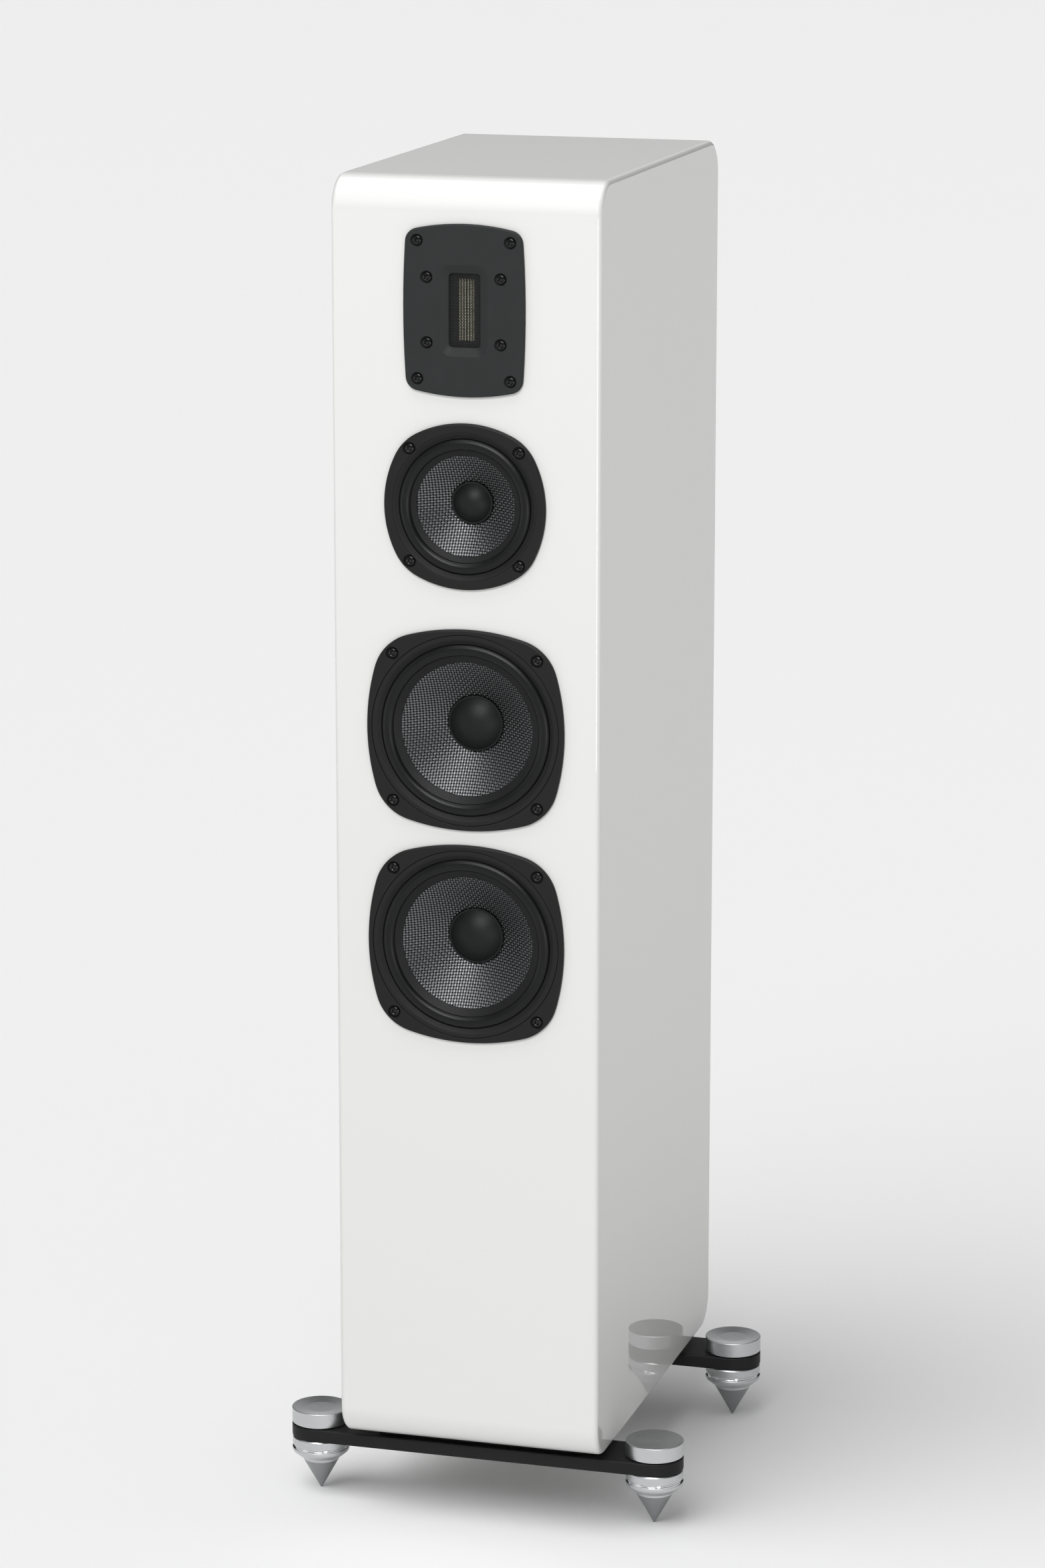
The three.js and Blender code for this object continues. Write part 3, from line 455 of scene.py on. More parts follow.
# Colour, roughness, size and depth of the grain, and what else the finish has.
GRAINED = {
    "charcoal_plate": ((0.0165, 0.0192, 0.0188), 0.58, 0.5 * MM, 0.02 * MM, MATT),
    "black_plate": ((0.008, 0.0083, 0.008), 0.5, 0.5 * MM, 0.02 * MM, MATT),
    "black_mesh": ((0.012, 0.012, 0.013), 0.4, 0.3 * MM, 0.005 * MM, {"metallic": 0.2}),
    "magnet_steel": ((0.3, 0.31, 0.32), 0.4, 2 * MM, 0.02 * MM, METAL),
    "black_plastic": ((0.012, 0.012, 0.013), 0.5, 0.6 * MM, 0.03 * MM, {}),
    "diaphragm_plastic": ((0.02, 0.02, 0.021), 0.42, 0.5 * MM, 0.015 * MM, {}),
    "black_rubber": ((0.005, 0.0053, 0.0057), 0.36, 0.7 * MM, 0.008 * MM, MATT),
    "trim_rubber": ((0.009, 0.009, 0.009), 0.6, 0.5 * MM, 0.02 * MM, MATT),
    "cap_rubber": ((0.0065, 0.007, 0.007), 0.48, 0.6 * MM, 0.012 * MM, MATT),
    "black_powder_coat": ((0.008, 0.008, 0.0083), 0.55, 0.7 * MM, 0.05 * MM, MATT),
    "screw_black": ((0.012, 0.012, 0.0125), 0.16, 0.8 * MM, 0.002 * MM, {"metallic": 0.5}),
    "red_plastic": ((0.4, 0.012, 0.01), 0.4, 0.6 * MM, 0.01 * MM, {}),
}

# Colour, roughness, width and depth of the lathe's rings, and the axis it was turned about.
TURNED = {
    "gold_plate": ((0.85, 0.6, 0.22), 0.2, 0.3 * MM, 0.004 * MM, "Y"),
    "satin_aluminium": ((0.57, 0.58, 0.59), 0.33, 0.25 * MM, 0.001 * MM, "Z"),
    "polished_aluminium": ((0.8, 0.81, 0.82), 0.1, 0.4 * MM, 0.002 * MM, "Z"),
    "cone_steel": ((0.3, 0.31, 0.315), 0.34, 0.3 * MM, 0.003 * MM, "Z"),
}

looks = {
    "white_lacquer": white_lacquer(),
    "bare_board": fibreboard(),
    "ribbon_foil": ribbon_foil(),
    "land_rubber": land_rubber(),
    "woven_fibre": woven_fibre(1.9 * MM),
    "spider_cloth": impregnated_cloth(),
    "copper_wire": wound_copper(),
    "circuit_board": circuit_laminate(),
}
for look_name, (*finish, extra) in GRAINED.items():
    looks[look_name] = grained(look_name, *finish, **extra)
for look_name, finish in TURNED.items():
    looks[look_name] = turned_metal(look_name, *finish)


# ------------------------------------------------------------------ outlines


def arc(centre_u, centre_v, radius, start, end, steps):
    angles = np.linspace(start, end, steps + 1)
    return [(centre_u + radius * math.cos(a), centre_v + radius * math.sin(a)) for a in angles]


def around(count):
    return np.arange(count) * FULL_TURN / count


def filleted(corners, steps=4, closed=True):
    """Points along a polygon of (u, v, radius) corners, each rounded to its radius."""
    points = []
    count = len(corners)
    for i, (u, v, radius) in enumerate(corners):
        at_end = not closed and i in (0, count - 1)
        if radius == 0 or at_end:
            points.append((u, v))
            continue
        here = Vector((u, v))
        back = (Vector(corners[i - 1][:2]) - here).normalized()
        ahead = (Vector(corners[(i + 1) % count][:2]) - here).normalized()
        half_angle = back.angle(ahead) / 2
        centre = here + (back + ahead).normalized() * (radius / math.sin(half_angle))
        start = here + back * (radius / math.tan(half_angle)) - centre
        end = here + ahead * (radius / math.tan(half_angle)) - centre
        turn = math.atan2(start.x * end.y - start.y * end.x, start.dot(end))
        first = math.atan2(start.y, start.x)
        points += arc(centre.x, centre.y, radius, first, first + turn, steps)
    return points


def rounded_rectangle(half_width, half_height, radius, steps=10):
    x = half_width - radius
    z = half_height - radius
    corners = [(x, z), (-x, z), (-x, -z), (x, -z)]
    points = []
    for i, (u, v) in enumerate(corners):
        points += arc(u, v, radius, i * math.pi / 2, (i + 1) * math.pi / 2, steps)
    return points


def bulged_plate(half_width, half_height, side_radius, end_radius, corner_radius, steps=16):
    """Four gently bulging sides and four round corners, all arcs that meet smoothly."""
    side = Vector((half_width - side_radius, 0))
    end = Vector((0, half_height - end_radius))
    reach_side = side_radius - corner_radius
    reach_end = end_radius - corner_radius
    between = side - end
    distance = between.length
    along = (distance ** 2 + reach_end ** 2 - reach_side ** 2) / (2 * distance)
    across = math.sqrt(reach_end ** 2 - along ** 2)
    direction = between / distance
    corner = end + direction * along + Vector((-direction.y, direction.x)) * across
    if corner.x < 0 or corner.y < 0:
        corner = end + direction * along - Vector((-direction.y, direction.x)) * across
    side_angle = math.atan2(corner.y - side.y, corner.x - side.x)
    end_angle = math.atan2(corner.y - end.y, corner.x - end.x)
    quarter = (
        arc(side.x, 0, side_radius, 0, side_angle, steps)[:-1]
        + arc(corner.x, corner.y, corner_radius, side_angle, end_angle, steps)
        + arc(0, end.y, end_radius, end_angle, math.pi / 2, steps)[1:]
    )
    left = [(-u, v) for u, v in reversed(quarter[:-1])]
    upper = quarter + left
    lower = [(-u, -v) for u, v in upper[1:-1]]
    return upper + lower


def reach(outline, angles):
    """How far a closed outline round the origin lies along each direction."""
    here = np.array(outline)
    edge = np.roll(here, -1, axis=0) - here
    direction = np.stack([np.cos(angles), np.sin(angles)], 1)
    cross_here = direction[:, :1] * here[:, 1] - direction[:, 1:] * here[:, 0]
    cross_edge = direction[:, :1] * edge[:, 1] - direction[:, 1:] * edge[:, 0]
    share = -cross_here / np.where(np.abs(cross_edge) < 1e-15, 1e-15, cross_edge)
    hit = here + share[..., None] * edge
    distance = (hit * direction[:, None, :]).sum(-1)
    on_edge = (share > -1e-6) & (share < 1 + 1e-6)
    return np.where(on_edge, distance, 0).max(1)


# ------------------------------------------------------------------ skins


def skin(loops, closed):
    """Vertices and faces over loops of points. A loop of one point is a tip, and an open run is capped."""
    vertices = [tuple(p) for loop in loops for p in loop]
    starts = np.cumsum([0] + [len(loop) for loop in loops])
    faces = []
    pairs = list(zip(range(len(loops)), range(1, len(loops))))
    if closed:
        pairs.append((len(loops) - 1, 0))
    for a, b in pairs:
        count = max(len(loops[a]), len(loops[b]))
        for i in range(count):
            j = (i + 1) % count
            corners = [
                starts[a] + (i if len(loops[a]) > 1 else 0),
                starts[a] + (j if len(loops[a]) > 1 else 0),
                starts[b] + (j if len(loops[b]) > 1 else 0),
                starts[b] + (i if len(loops[b]) > 1 else 0),
            ]
            faces.append(tuple(dict.fromkeys(int(c) for c in corners)))
    if not closed:
        for index in (0, len(loops) - 1):
            if len(loops[index]) > 1:
                faces.append(tuple(int(starts[index] + i) for i in range(len(loops[index]))))
    return vertices, faces


def ring_points(radius, depth, angles, axis, straight_half=0.0):
    """A loop at one depth. `radius` is a number or one value for each angle."""
    radius = np.broadcast_to(radius, angles.shape)
    if radius.max() < 1e-9 and straight_half == 0:
        return [(0, depth, 0)] if axis == "Y" else [(0, 0, depth)]
    u = radius * np.cos(angles)
    v = radius * np.sin(angles)
    if straight_half:
        v = v + np.where(np.sin(angles) > 0, straight_half, -straight_half)
    if axis == "Y":
        return [(a, depth, b) for a, b in zip(u, v)]
    return [(a, b, depth) for a, b in zip(u, v)]


def turned(profile, count=96, axis="Y", closed=True, straight_half=0.0):
    """A (radius, depth) profile turned about an axis, or run round a racetrack."""
    angles = around(count) + (math.pi / count if straight_half else 0)
    loops = [ring_points(r, d, angles, axis, straight_half) for r, d in profile]
    return skin(loops, closed)


def stacked(rings, angles, axis="Y", closed=True):
    """A skin over (radii, depth) rings, where radii holds one value for each angle."""
    return skin([ring_points(r, d, angles, axis) for r, d in rings], closed)


def moved(shape, x=0.0, y=0.0, z=0.0):
    vertices, faces = shape
    return [(a + x, b + y, c + z) for a, b, c in vertices], faces


def merged(shapes):
    vertices = []
    faces = []
    for shape_vertices, shape_faces in shapes:
        first = len(vertices)
        vertices += shape_vertices
        faces += [tuple(first + i for i in face) for face in shape_faces]
    return vertices, faces


def box_shape(low, high):
    x0, y0, z0 = low
    x1, y1, z1 = high
    loops = [[(x0, y, z0), (x1, y, z0), (x1, y, z1), (x0, y, z1)] for y in (y0, y1)]
    return skin(loops, closed=False)


# ------------------------------------------------------------------ pieces


def new_object(name, shape, place=(0, 0, 0), facing_back=False):
    """A mesh object with its faces turned outwards."""
    mesh = bpy.data.meshes.new(name)
    mesh.from_pydata(shape[0], [], shape[1])
    turn_outwards(mesh)
    piece = bpy.data.objects.new(name, mesh)
    piece.location = place
    if facing_back:
        piece.rotation_euler.z = math.pi
    bpy.context.scene.collection.objects.link(piece)
    bpy.context.view_layer.update()
    return piece


def turn_outwards(mesh):
    shell = bmesh.new()
    shell.from_mesh(mesh)
    bmesh.ops.recalc_face_normals(shell, faces=shell.faces)
    shell.to_mesh(mesh)
    shell.free()


def smooth(piece, sharp_angle=32):
    for polygon in piece.data.polygons:
        polygon.use_smooth = True
    piece.data.set_sharp_from_angle(angle=math.radians(sharp_angle))
    even = piece.modifiers.new("even_shading", "WEIGHTED_NORMAL")
    even.keep_sharp = True


def carve(piece, shapes):
    """Cut closed shapes, given in the piece's own frame, out of the piece."""
    cutter = new_object(f"{piece.name}_cutter", merged(shapes))
    cutter.matrix_world = piece.matrix_world
    cut = piece.modifiers.new("cut", "BOOLEAN")
    cut.operation = "DIFFERENCE"
    cut.solver = "EXACT"
    cut.object = cutter
    bpy.context.view_layer.update()
    graph = bpy.context.evaluated_depsgraph_get()
    carved = bpy.data.meshes.new_from_object(piece.evaluated_get(graph))
    piece.modifiers.clear()
    piece.data = carved
    bpy.data.objects.remove(cutter)


def finish_piece(piece, look, body="cabinet", replaces=()):
    piece.data.materials.clear()
    piece.data.materials.append(looks[look])
    smooth(piece)
    if body:
        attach(piece, body)
    if replaces:
        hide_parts(*replaces)
    return piece


def paint(piece, look, chosen):
    """Give another finish to the faces whose middle passes the test `chosen`."""
    piece.data.materials.append(looks[look])
    index = len(piece.data.materials) - 1
    for polygon in piece.data.polygons:
        if chosen(polygon.center):
            polygon.material_index = index


def half_width(node):
    low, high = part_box(node)
    return (high.x - low.x) / 2


def middle(node):
    low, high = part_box(node)
    return (low + high) / 2


# ------------------------------------------------------------------ cabinet

CABINET_EDGE = 4 * MM
CABINET_CORNER = 25 * MM
BOARD = 18 * MM
TOOL_REACH = 40 * MM  # how far the tool for a hole stands out on both sides of its face
ROUND_SPACE = 0.6 * MM  # between a round hole and the neck in it
SQUARE_SPACE = 0.5 * MM  # between a square hole and the piece in it


def cabinet_solid():
    """Rounded front to top, top to back and so on, with softer edges along both sides."""
    low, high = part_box("cabinet_wrap")
    half_height = (high.z - low.z) / 2
    half_depth = (high.y - low.y) / 2
    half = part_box("side_panel_right")[1].x
    loops = []
    for side, steps in ((-1, np.linspace(math.pi / 2, 0, 9)), (1, np.linspace(0, math.pi / 2, 9))):
        for a in steps:
            x = side * (half - CABINET_EDGE * (1 - math.sin(a)))
            inset = CABINET_EDGE * (1 - math.cos(a))
            outline = rounded_rectangle(
                half_depth - inset, half_height - inset, CABINET_CORNER - inset, 20)
            loops.append([(x, y, (low.z + high.z) / 2 + z) for y, z in outline])
    return skin(loops, closed=False)


def cabinet_tools():
    """What is cut from the solid cabinet: its inside and the holes for the pieces it carries."""
    low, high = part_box("cabinet_wrap")
    inside = box_shape(
        (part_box("side_panel_left")[1].x, low.y + BOARD, low.z + BOARD),
        (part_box("side_panel_right")[0].x, high.y - BOARD, high.z - BOARD),
    )
    tools = [inside]
    for name in DRIVERS:
        radius = neck_outer(name) + ROUND_SPACE
        hole = turned([(radius, -TOOL_REACH), (radius, TOOL_REACH)], closed=False)
        tools.append(moved(hole, y=FRONT_FACE, z=middle(f"{name}_frame").z))
    low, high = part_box("tweeter_magnet_frame")
    angles = around(180)
    outline = reach(rounded_rectangle(
        (high.x - low.x) / 2 + SQUARE_SPACE, (high.z - low.z) / 2 + SQUARE_SPACE, 6 * MM), angles)
    hole = stacked([(outline, -TOOL_REACH), (outline, TOOL_REACH)], angles, closed=False)
    tools.append(moved(hole, y=FRONT_FACE, z=(low.z + high.z) / 2))
    for name in RADIATORS:
        d = radiator_sizes(name)
        radius = d["neck_outer"] + ROUND_SPACE
        profile = [(radius, -TOOL_REACH), (radius, TOOL_REACH)]
        hole = turned(profile, closed=False, straight_half=d["straight_half"])
        tools.append(moved(hole, y=BACK_FACE, z=d["centre"].z))
    half = TERMINAL_BODY + SQUARE_SPACE
    hole = box_shape((-half, -TOOL_REACH, -half), (half, TOOL_REACH, half))
    tools.append(moved(hole, y=BACK_FACE, z=middle("terminal_cup").z))
    return tools


def add_cabinet():
    """Lacquered shell with soft edges, bare board inside it and in its holes."""
    piece = new_object("cabinet_shell", cabinet_solid())
    for tool in cabinet_tools():
        carve(piece, [tool])
    finish_piece(
        piece, "white_lacquer",
        replaces=("cabinet_wrap", "side_panel_left", "side_panel_right"))
    low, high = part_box("cabinet_wrap")
    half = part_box("side_panel_right")[1].x
    lacquered = 0.3 * MM

    def is_bare(centre):
        from_side = half - abs(centre.x)
        from_face = min(centre.y - low.y, high.y - centre.y)
        from_end = min(centre.z - low.z, high.z - centre.z)
        in_corner = max(from_face, from_end) < CABINET_CORNER
        deep = from_side > CABINET_EDGE + lacquered and min(from_face, from_end) > lacquered
        return deep and not in_corner

    paint(piece, "bare_board", is_bare)


# ------------------------------------------------------------------ cone drivers

SCREW_HEAD = 3.7 * MM
POCKET = 4.7 * MM
POCKET_DEPTH = 2.2 * MM


def neck_outer(name):
    return half_width(f"{name}_surround") + GAP + 1.4 * MM


def driver_sizes(name):
    """A driver's radii, and its depths behind the cabinet's front face, from its CAD nodes."""
    shape = DRIVERS[name]
    frame_low, frame_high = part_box(f"{name}_frame")
    cone_low, cone_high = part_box(f"{name}_cone")
    cap_low, cap_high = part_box(f"{name}_dust_cap")
    rim = half_width(f"{name}_surround")
    cone_outer = half_width(f"{name}_cone") + GAP
    return {
        **shape,
        "centre": Vector((0, FRONT_FACE, middle(f"{name}_frame").z)),
        "plate_half": half_width(f"{name}_frame"),
        "plate_front": frame_low.y - FRONT_FACE,
        "basket_back": frame_high.y - FRONT_FACE,
        "seam": half_width(f"{name}_trim_ring") + GAP,
        "rim": rim,
        "neck_inner": rim + GAP,
        "neck_outer": neck_outer(name),
        "roll_outer": rim - 1.8 * MM,
        "roll_inner": cone_outer + shape["land"],
        "cone_outer": cone_outer,
        "cone_front": cone_low.y - FRONT_FACE,
        "cone_back": cone_high.y - FRONT_FACE,
        "cap_outer": half_width(f"{name}_dust_cap"),
        "cap_front": cap_low.y - FRONT_FACE,
        "cap_back": cap_high.y - FRONT_FACE,
        "coil": half_width(f"{name}_voice_coil"),
        "motor": half_width(f"{name}_motor"),
    }


def soft_skirt(radii_at, back, front, radius, steps=6):
    """Rings up the side of a plate and round its front edge. radii_at gives its outline, inset."""
    rings = [(radii_at(0), back)]
    for a in np.linspace(0, math.pi / 2, steps + 1):
        rings.append((radii_at(radius * (1 - math.cos(a))), front + radius * (1 - math.sin(a))))
    return rings


def pocket(radius, front):
    """A counterbore with a softened mouth."""
    clear = front - 2 * MM
    softening = 0.3 * MM
    profile = [
        (0, clear),
        (radius + softening, clear),
        (radius + softening, front - 0.01 * MM),
        (radius, front + softening),
        (radius, front + POCKET_DEPTH),
        (0, front + POCKET_DEPTH),
    ]
    return turned(profile, 48, closed=False)


def screw(front, head):
    """A button-headed socket screw whose head stands in its pocket, its top at depth `front`."""
    angles = around(48)
    from_flat = (angles + math.pi / 6) % (math.pi / 3) - math.pi / 6
    socket = 1.75 * MM / np.cos(from_flat)
    shaft = 2 * MM
    crown = 2.2 * MM  # radius of the flat round the socket
    brim = 0.4 * MM  # height of the head's upright edge
    dome = 1.5 * MM
    seat = front + dome + brim
    tip = seat + 6 * MM
    side = [(0, tip), (shaft, tip), (shaft, seat), (head - 0.1 * MM, seat)]
    for a in np.linspace(math.pi / 2, 0, 8):
        side.append((crown + (head - crown) * math.sin(a), front + dome * (1 - math.cos(a))))
    rings = [(np.full(48, r), depth) for r, depth in side]
    rings.append((socket, front + 0.25 * MM))
    rings.append((socket * 0.96, front + 1.5 * MM))
    rings.append((np.zeros(48), front + 1.2 * MM))
    return stacked(rings, angles, closed=False)


def screw_set(name, places, front, centre, head=SCREW_HEAD, facing_back=False):
    """Screws at (x, z) places in pockets of a plate whose face is at depth `front`."""
    screws = [moved(screw(front + 0.25 * MM, head), x, 0, z) for x, z in places]
    return new_object(name, merged(screws), centre, facing_back)


def square_corners(half_x, half_z):
    return [(-half_x, half_z), (half_x, half_z), (-half_x, -half_z), (half_x, -half_z)]


def add_frame(name, d):
    """Cast plate and basket. The plate's edge is soft and each screw has a pocket."""
    angles = around(192)
    edge = 1.5 * MM
    front = d["plate_front"]
    back = -0.1 * MM
    rebate = -1.7 * MM
    shelf = 0.7 * MM
    neck_end = 6 * MM
    wall = 2.5 * MM
    shelf_inner = d["roll_outer"] - 2 * MM
    basket_outer = d["motor"] + 1 * MM
    basket_hole = d["coil"] + 4.4 * MM

    def outline(inset):
        points = bulged_plate(
            d["plate_half"] - inset, d["plate_half"] - inset,
            d["side_radius"] - inset, d["side_radius"] - inset, d["corner_radius"] - inset)
        return reach(points, angles)

    inner = filleted([
        (d["seam"] + 1.5 * MM, front, 0),
        (d["seam"], front, 0.35 * MM),
        (d["seam"], rebate, 0),
        (d["neck_inner"], rebate, 0.3 * MM),
        (d["neck_inner"], shelf, 0),
        (shelf_inner, shelf, 0.3 * MM),
        (shelf_inner, neck_end, 1 * MM),
        (basket_outer - wall, d["basket_back"] - wall, 1 * MM),
        (basket_hole, d["basket_back"] - wall, 0.3 * MM),
        (basket_hole, d["basket_back"], 0.3 * MM),
        (basket_outer, d["basket_back"], 1 * MM),
        (d["neck_outer"], neck_end, 1 * MM),
        (d["neck_outer"], back, 0),
    ], closed=False)
    rings = soft_skirt(outline, back, front, edge)
    rings += [(np.full(192, r), depth) for r, depth in inner]
    piece = new_object(f"{name}_cast_frame", stacked(rings, angles), d["centre"])

    window_front = neck_end + 4 * MM
    window_back = d["basket_back"] - wall - 5 * MM
    half_window = d["motor"] * 0.55
    span = 2 * d["plate_half"]
    for half_x, half_z in ((span, half_window), (half_window, span)):
        carve(piece, [box_shape((-half_x, window_front, -half_z), (half_x, window_back, half_z))])
    places = square_corners(d["screw"], d["screw"])
    carve(piece, [moved(pocket(POCKET, front), x, 0, z) for x, z in places])
    finish_piece(piece, "black_plate", replaces=(f"{name}_frame",))

    screws = screw_set(f"{name}_screws", places, front, d["centre"])
    finish_piece(screws, "screw_black")


def add_trim_ring(name, d):
    """Rubber ring, flush with the plate at its outer edge and sloping in to the foot of the roll."""
    front = d["plate_front"] + 0.2 * MM
    back = -2 * MM
    foot = -0.7 * MM
    lip = foot - 0.6 * MM
    slope = 3.4 * MM
    inner = d["roll_outer"] + GAP
    outer = d["seam"] - GAP
    profile = filleted([
        (outer, back, 0),
        (outer, front, 0.3 * MM),
        (inner + slope, front, 2 * MM),
        (inner + 0.4 * MM, lip, 1.2 * MM),
        (inner, lip, 0.1 * MM),
        (inner, foot, 0),
        (d["rim"], foot, 0),
        (d["rim"], back, 0),
    ])
    piece = new_object(f"{name}_trim_cover", turned(profile, 160), d["centre"])
    finish_piece(piece, "trim_rubber", replaces=(f"{name}_trim_ring",))


def roll_profile(rim, roll_outer, roll_inner, land_inner, land_depth, crest):
    """Section of a surround: flat rim, half roll, land. The back follows the front at one thickness."""
    thickness = 0.8 * MM
    lip = -0.4 * MM
    centre = (roll_outer + roll_inner) / 2
    half = (roll_outer - roll_inner) / 2
    front = [(rim, lip)]
    back = [(rim, lip + thickness)]
    for a in np.linspace(0, math.pi, 25):
        front.append((centre + half * math.cos(a), lip + (crest - lip) * math.sin(a)))
        back.append((
            centre + (half - thickness) * math.cos(a),
            lip + thickness + (crest - lip) * math.sin(a),
        ))
    front.append((land_inner, land_depth - 0.5 * MM))
    back.append((land_inner, land_depth + 0.3 * MM))
    return front + back[::-1]


def blend_outwards(piece, centre, straight_half=0.0):
    """Bake the piece's placement into its mesh. The heights from the middle that it then works out are not
    used.
    """
    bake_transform(piece)
    points = np.array([v.co for v in piece.data.vertices])
    z = points[:, 2] - centre[2]
    z = np.sign(z) * np.maximum(np.abs(z) - straight_half, 0)


def add_surround(name, d):
    profile = roll_profile(
        d["rim"], d["roll_outer"], d["roll_inner"], d["cone_outer"],
        d["cone_front"], d["plate_front"])
    piece = new_object(f"{name}_roll_surround", turned(profile, 160), d["centre"])
    finish_piece(piece, "black_rubber", body=None, replaces=(f"{name}_surround",))
    land_edge = d["roll_inner"] - 0.1 * MM
    paint(piece, "land_rubber", lambda c: math.hypot(c.x, c.z) < land_edge)
    blend_outwards(piece, d["centre"])


def add_cone(name, d):
    """Woven cone, straight in section but for a slight hollow curve."""
    wall = 1.2 * MM
    inner = d["coil"] - 0.3 * MM
    sag = 0.5 * MM
    outer = d["cone_outer"] - GAP / 2
    front = []
    for share in np.linspace(0, 1, 25):
        radius = outer + (inner - outer) * share
        depth = d["cone_front"] + (d["cone_back"] - wall - d["cone_front"]) * share
        front.append((radius, depth + sag * math.sin(math.pi * share)))
    back = [(r, depth + wall) for r, depth in reversed(front)]
    piece = new_object(f"{name}_woven_cone", turned(front + back, 160), d["centre"])
    finish_piece(piece, "woven_fibre", body=f"{name}_moving", replaces=(f"{name}_cone",))


def add_dust_cap(name, d):
    wall = 0.8 * MM
    collar = 1.4 * MM
    radius = d["cap_outer"] - collar
    foot = d["cap_back"] - wall
    height = foot - d["cap_front"]
    sphere = (radius ** 2 + height ** 2) / (2 * height)
    widest = math.asin(radius / sphere)
    dome = []
    for a in np.linspace(0, widest, 16):
        dome.append((sphere * math.sin(a), foot - height + sphere * (1 - math.cos(a))))
    under = [(r * (radius - wall) / radius, depth + wall) for r, depth in reversed(dome)]
    rim = filleted([
        (radius, foot, 0),
        (radius + 0.15 * MM, foot - 0.35 * MM, 0.1 * MM),
        (d["cap_outer"], foot - 0.35 * MM, 0.3 * MM),
        (d["cap_outer"], foot + wall, 0.1 * MM),
        (radius - wall, foot + wall, 0),
    ], closed=False)
    profile = dome[:-1] + rim + under[1:]
    piece = new_object(f"{name}_domed_cap", turned(profile, 128, closed=False), d["centre"])
    finish_piece(piece, "cap_rubber", body=f"{name}_moving", replaces=(f"{name}_dust_cap",))


def add_spider(name, d):
    """Corrugated cloth from the basket to the coil."""
    low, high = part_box(f"{name}_spider")
    inner = d["coil"] - 0.3 * MM
    outer = half_width(f"{name}_spider")
    centre = (low.y + high.y) / 2 - FRONT_FACE
    cloth = 0.5 * MM
    waves = 5
    height = 1.1 * MM
    front = []
    for share in np.linspace(0, 1, 12 * waves + 1):
        radius = inner + (outer - inner) * share
        front.append((radius, centre + height * math.sin(FULL_TURN * waves * share)))
    back = [(r, depth + cloth) for r, depth in reversed(front)]
    piece = new_object(f"{name}_centring_spider", turned(front + back, 96), d["centre"])
    finish_piece(piece, "spider_cloth", body=None, replaces=(f"{name}_spider",))
    blend_outwards(piece, d["centre"])


def add_driver(name):
    d = driver_sizes(name)
    add_frame(name, d)
    add_trim_ring(name, d)
    add_surround(name, d)
    add_cone(name, d)
    add_dust_cap(name, d)
    add_spider(name, d)


# ------------------------------------------------------------------ ribbon tweeter

# Half sizes and arcs of the plate's window and outline, and where its eight screws are.
WINDOW = (11.35 * MM, 26.15 * MM)
WINDOW_CORNER = 2.5 * MM
BEVEL = 6.5 * MM
PLATE_ARCS = (750 * MM, 170 * MM, 10 * MM)  # sides, ends and corners
OUTER_SCREWS = (34.5 * MM, 49.2 * MM)
INNER_SCREWS = (27.4 * MM, 23.3 * MM)


def add_tweeter_plate():
    """Bulged plate with a window whose border slopes in to the mesh."""
    low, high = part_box("tweeter_faceplate")
    centre = Vector((0, FRONT_FACE, middle("tweeter_faceplate").z))
    front = low.y - FRONT_FACE
    boss_back = high.y - FRONT_FACE
    back = -0.1 * MM
    angles = around(360)
    boss_low, boss_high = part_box("tweeter_magnet_frame")
    boss = reach(rounded_rectangle(
        (boss_high.x - boss_low.x) / 2, (boss_high.z - boss_low.z) / 2, 6 * MM), angles)

    def outline(inset):
        half_sizes = ((high.x - low.x) / 2, (high.z - low.z) / 2)
        points = bulged_plate(*[size - inset for size in half_sizes + PLATE_ARCS])
        return reach(points, angles)

    def window(border):
        return reach(rounded_rectangle(
            WINDOW[0] + border, WINDOW[1] + border, WINDOW_CORNER + border), angles)

    slope = filleted([
        (BEVEL + 2 * MM, front, 0),
        (BEVEL, front, 0.6 * MM),
        (1.5 * MM, front + 2 * MM, 4 * MM),
        (0.3 * MM, front + 2.6 * MM, 0.6 * MM),
        (0, front + 3.3 * MM, 0),
        (0, boss_back, 0),
    ], closed=False)
    rings = soft_skirt(outline, back, front, 1.2 * MM)
    rings += [(window(border), depth) for border, depth in slope]
    rings += [(boss, boss_back), (boss, back)]
    piece = new_object("tweeter_plate", stacked(rings, angles), centre)
    places = square_corners(*OUTER_SCREWS) + square_corners(*INNER_SCREWS)
    carve(piece, [moved(pocket(4.5 * MM, front), x, 0, z) for x, z in places])
    finish_piece(piece, "charcoal_plate", replaces=("tweeter_faceplate",))
    screws = screw_set("tweeter_screws", places, front, centre, head=3.6 * MM)
    finish_piece(screws, "screw_black")


def wire(length, pitch, lift, radius, phase):
    """A wire along u that waves over and under the wires it crosses."""
    steps = int(length / pitch) * 4
    sides = 6
    loops = []
    for u in np.linspace(-length / 2, length / 2, steps + 1):
        height = lift * math.cos(math.pi * u / pitch + phase)
        loops.append([
            (u, height + radius * math.cos(a), radius * math.sin(a)) for a in around(sides)])
    return skin(loops, closed=False)


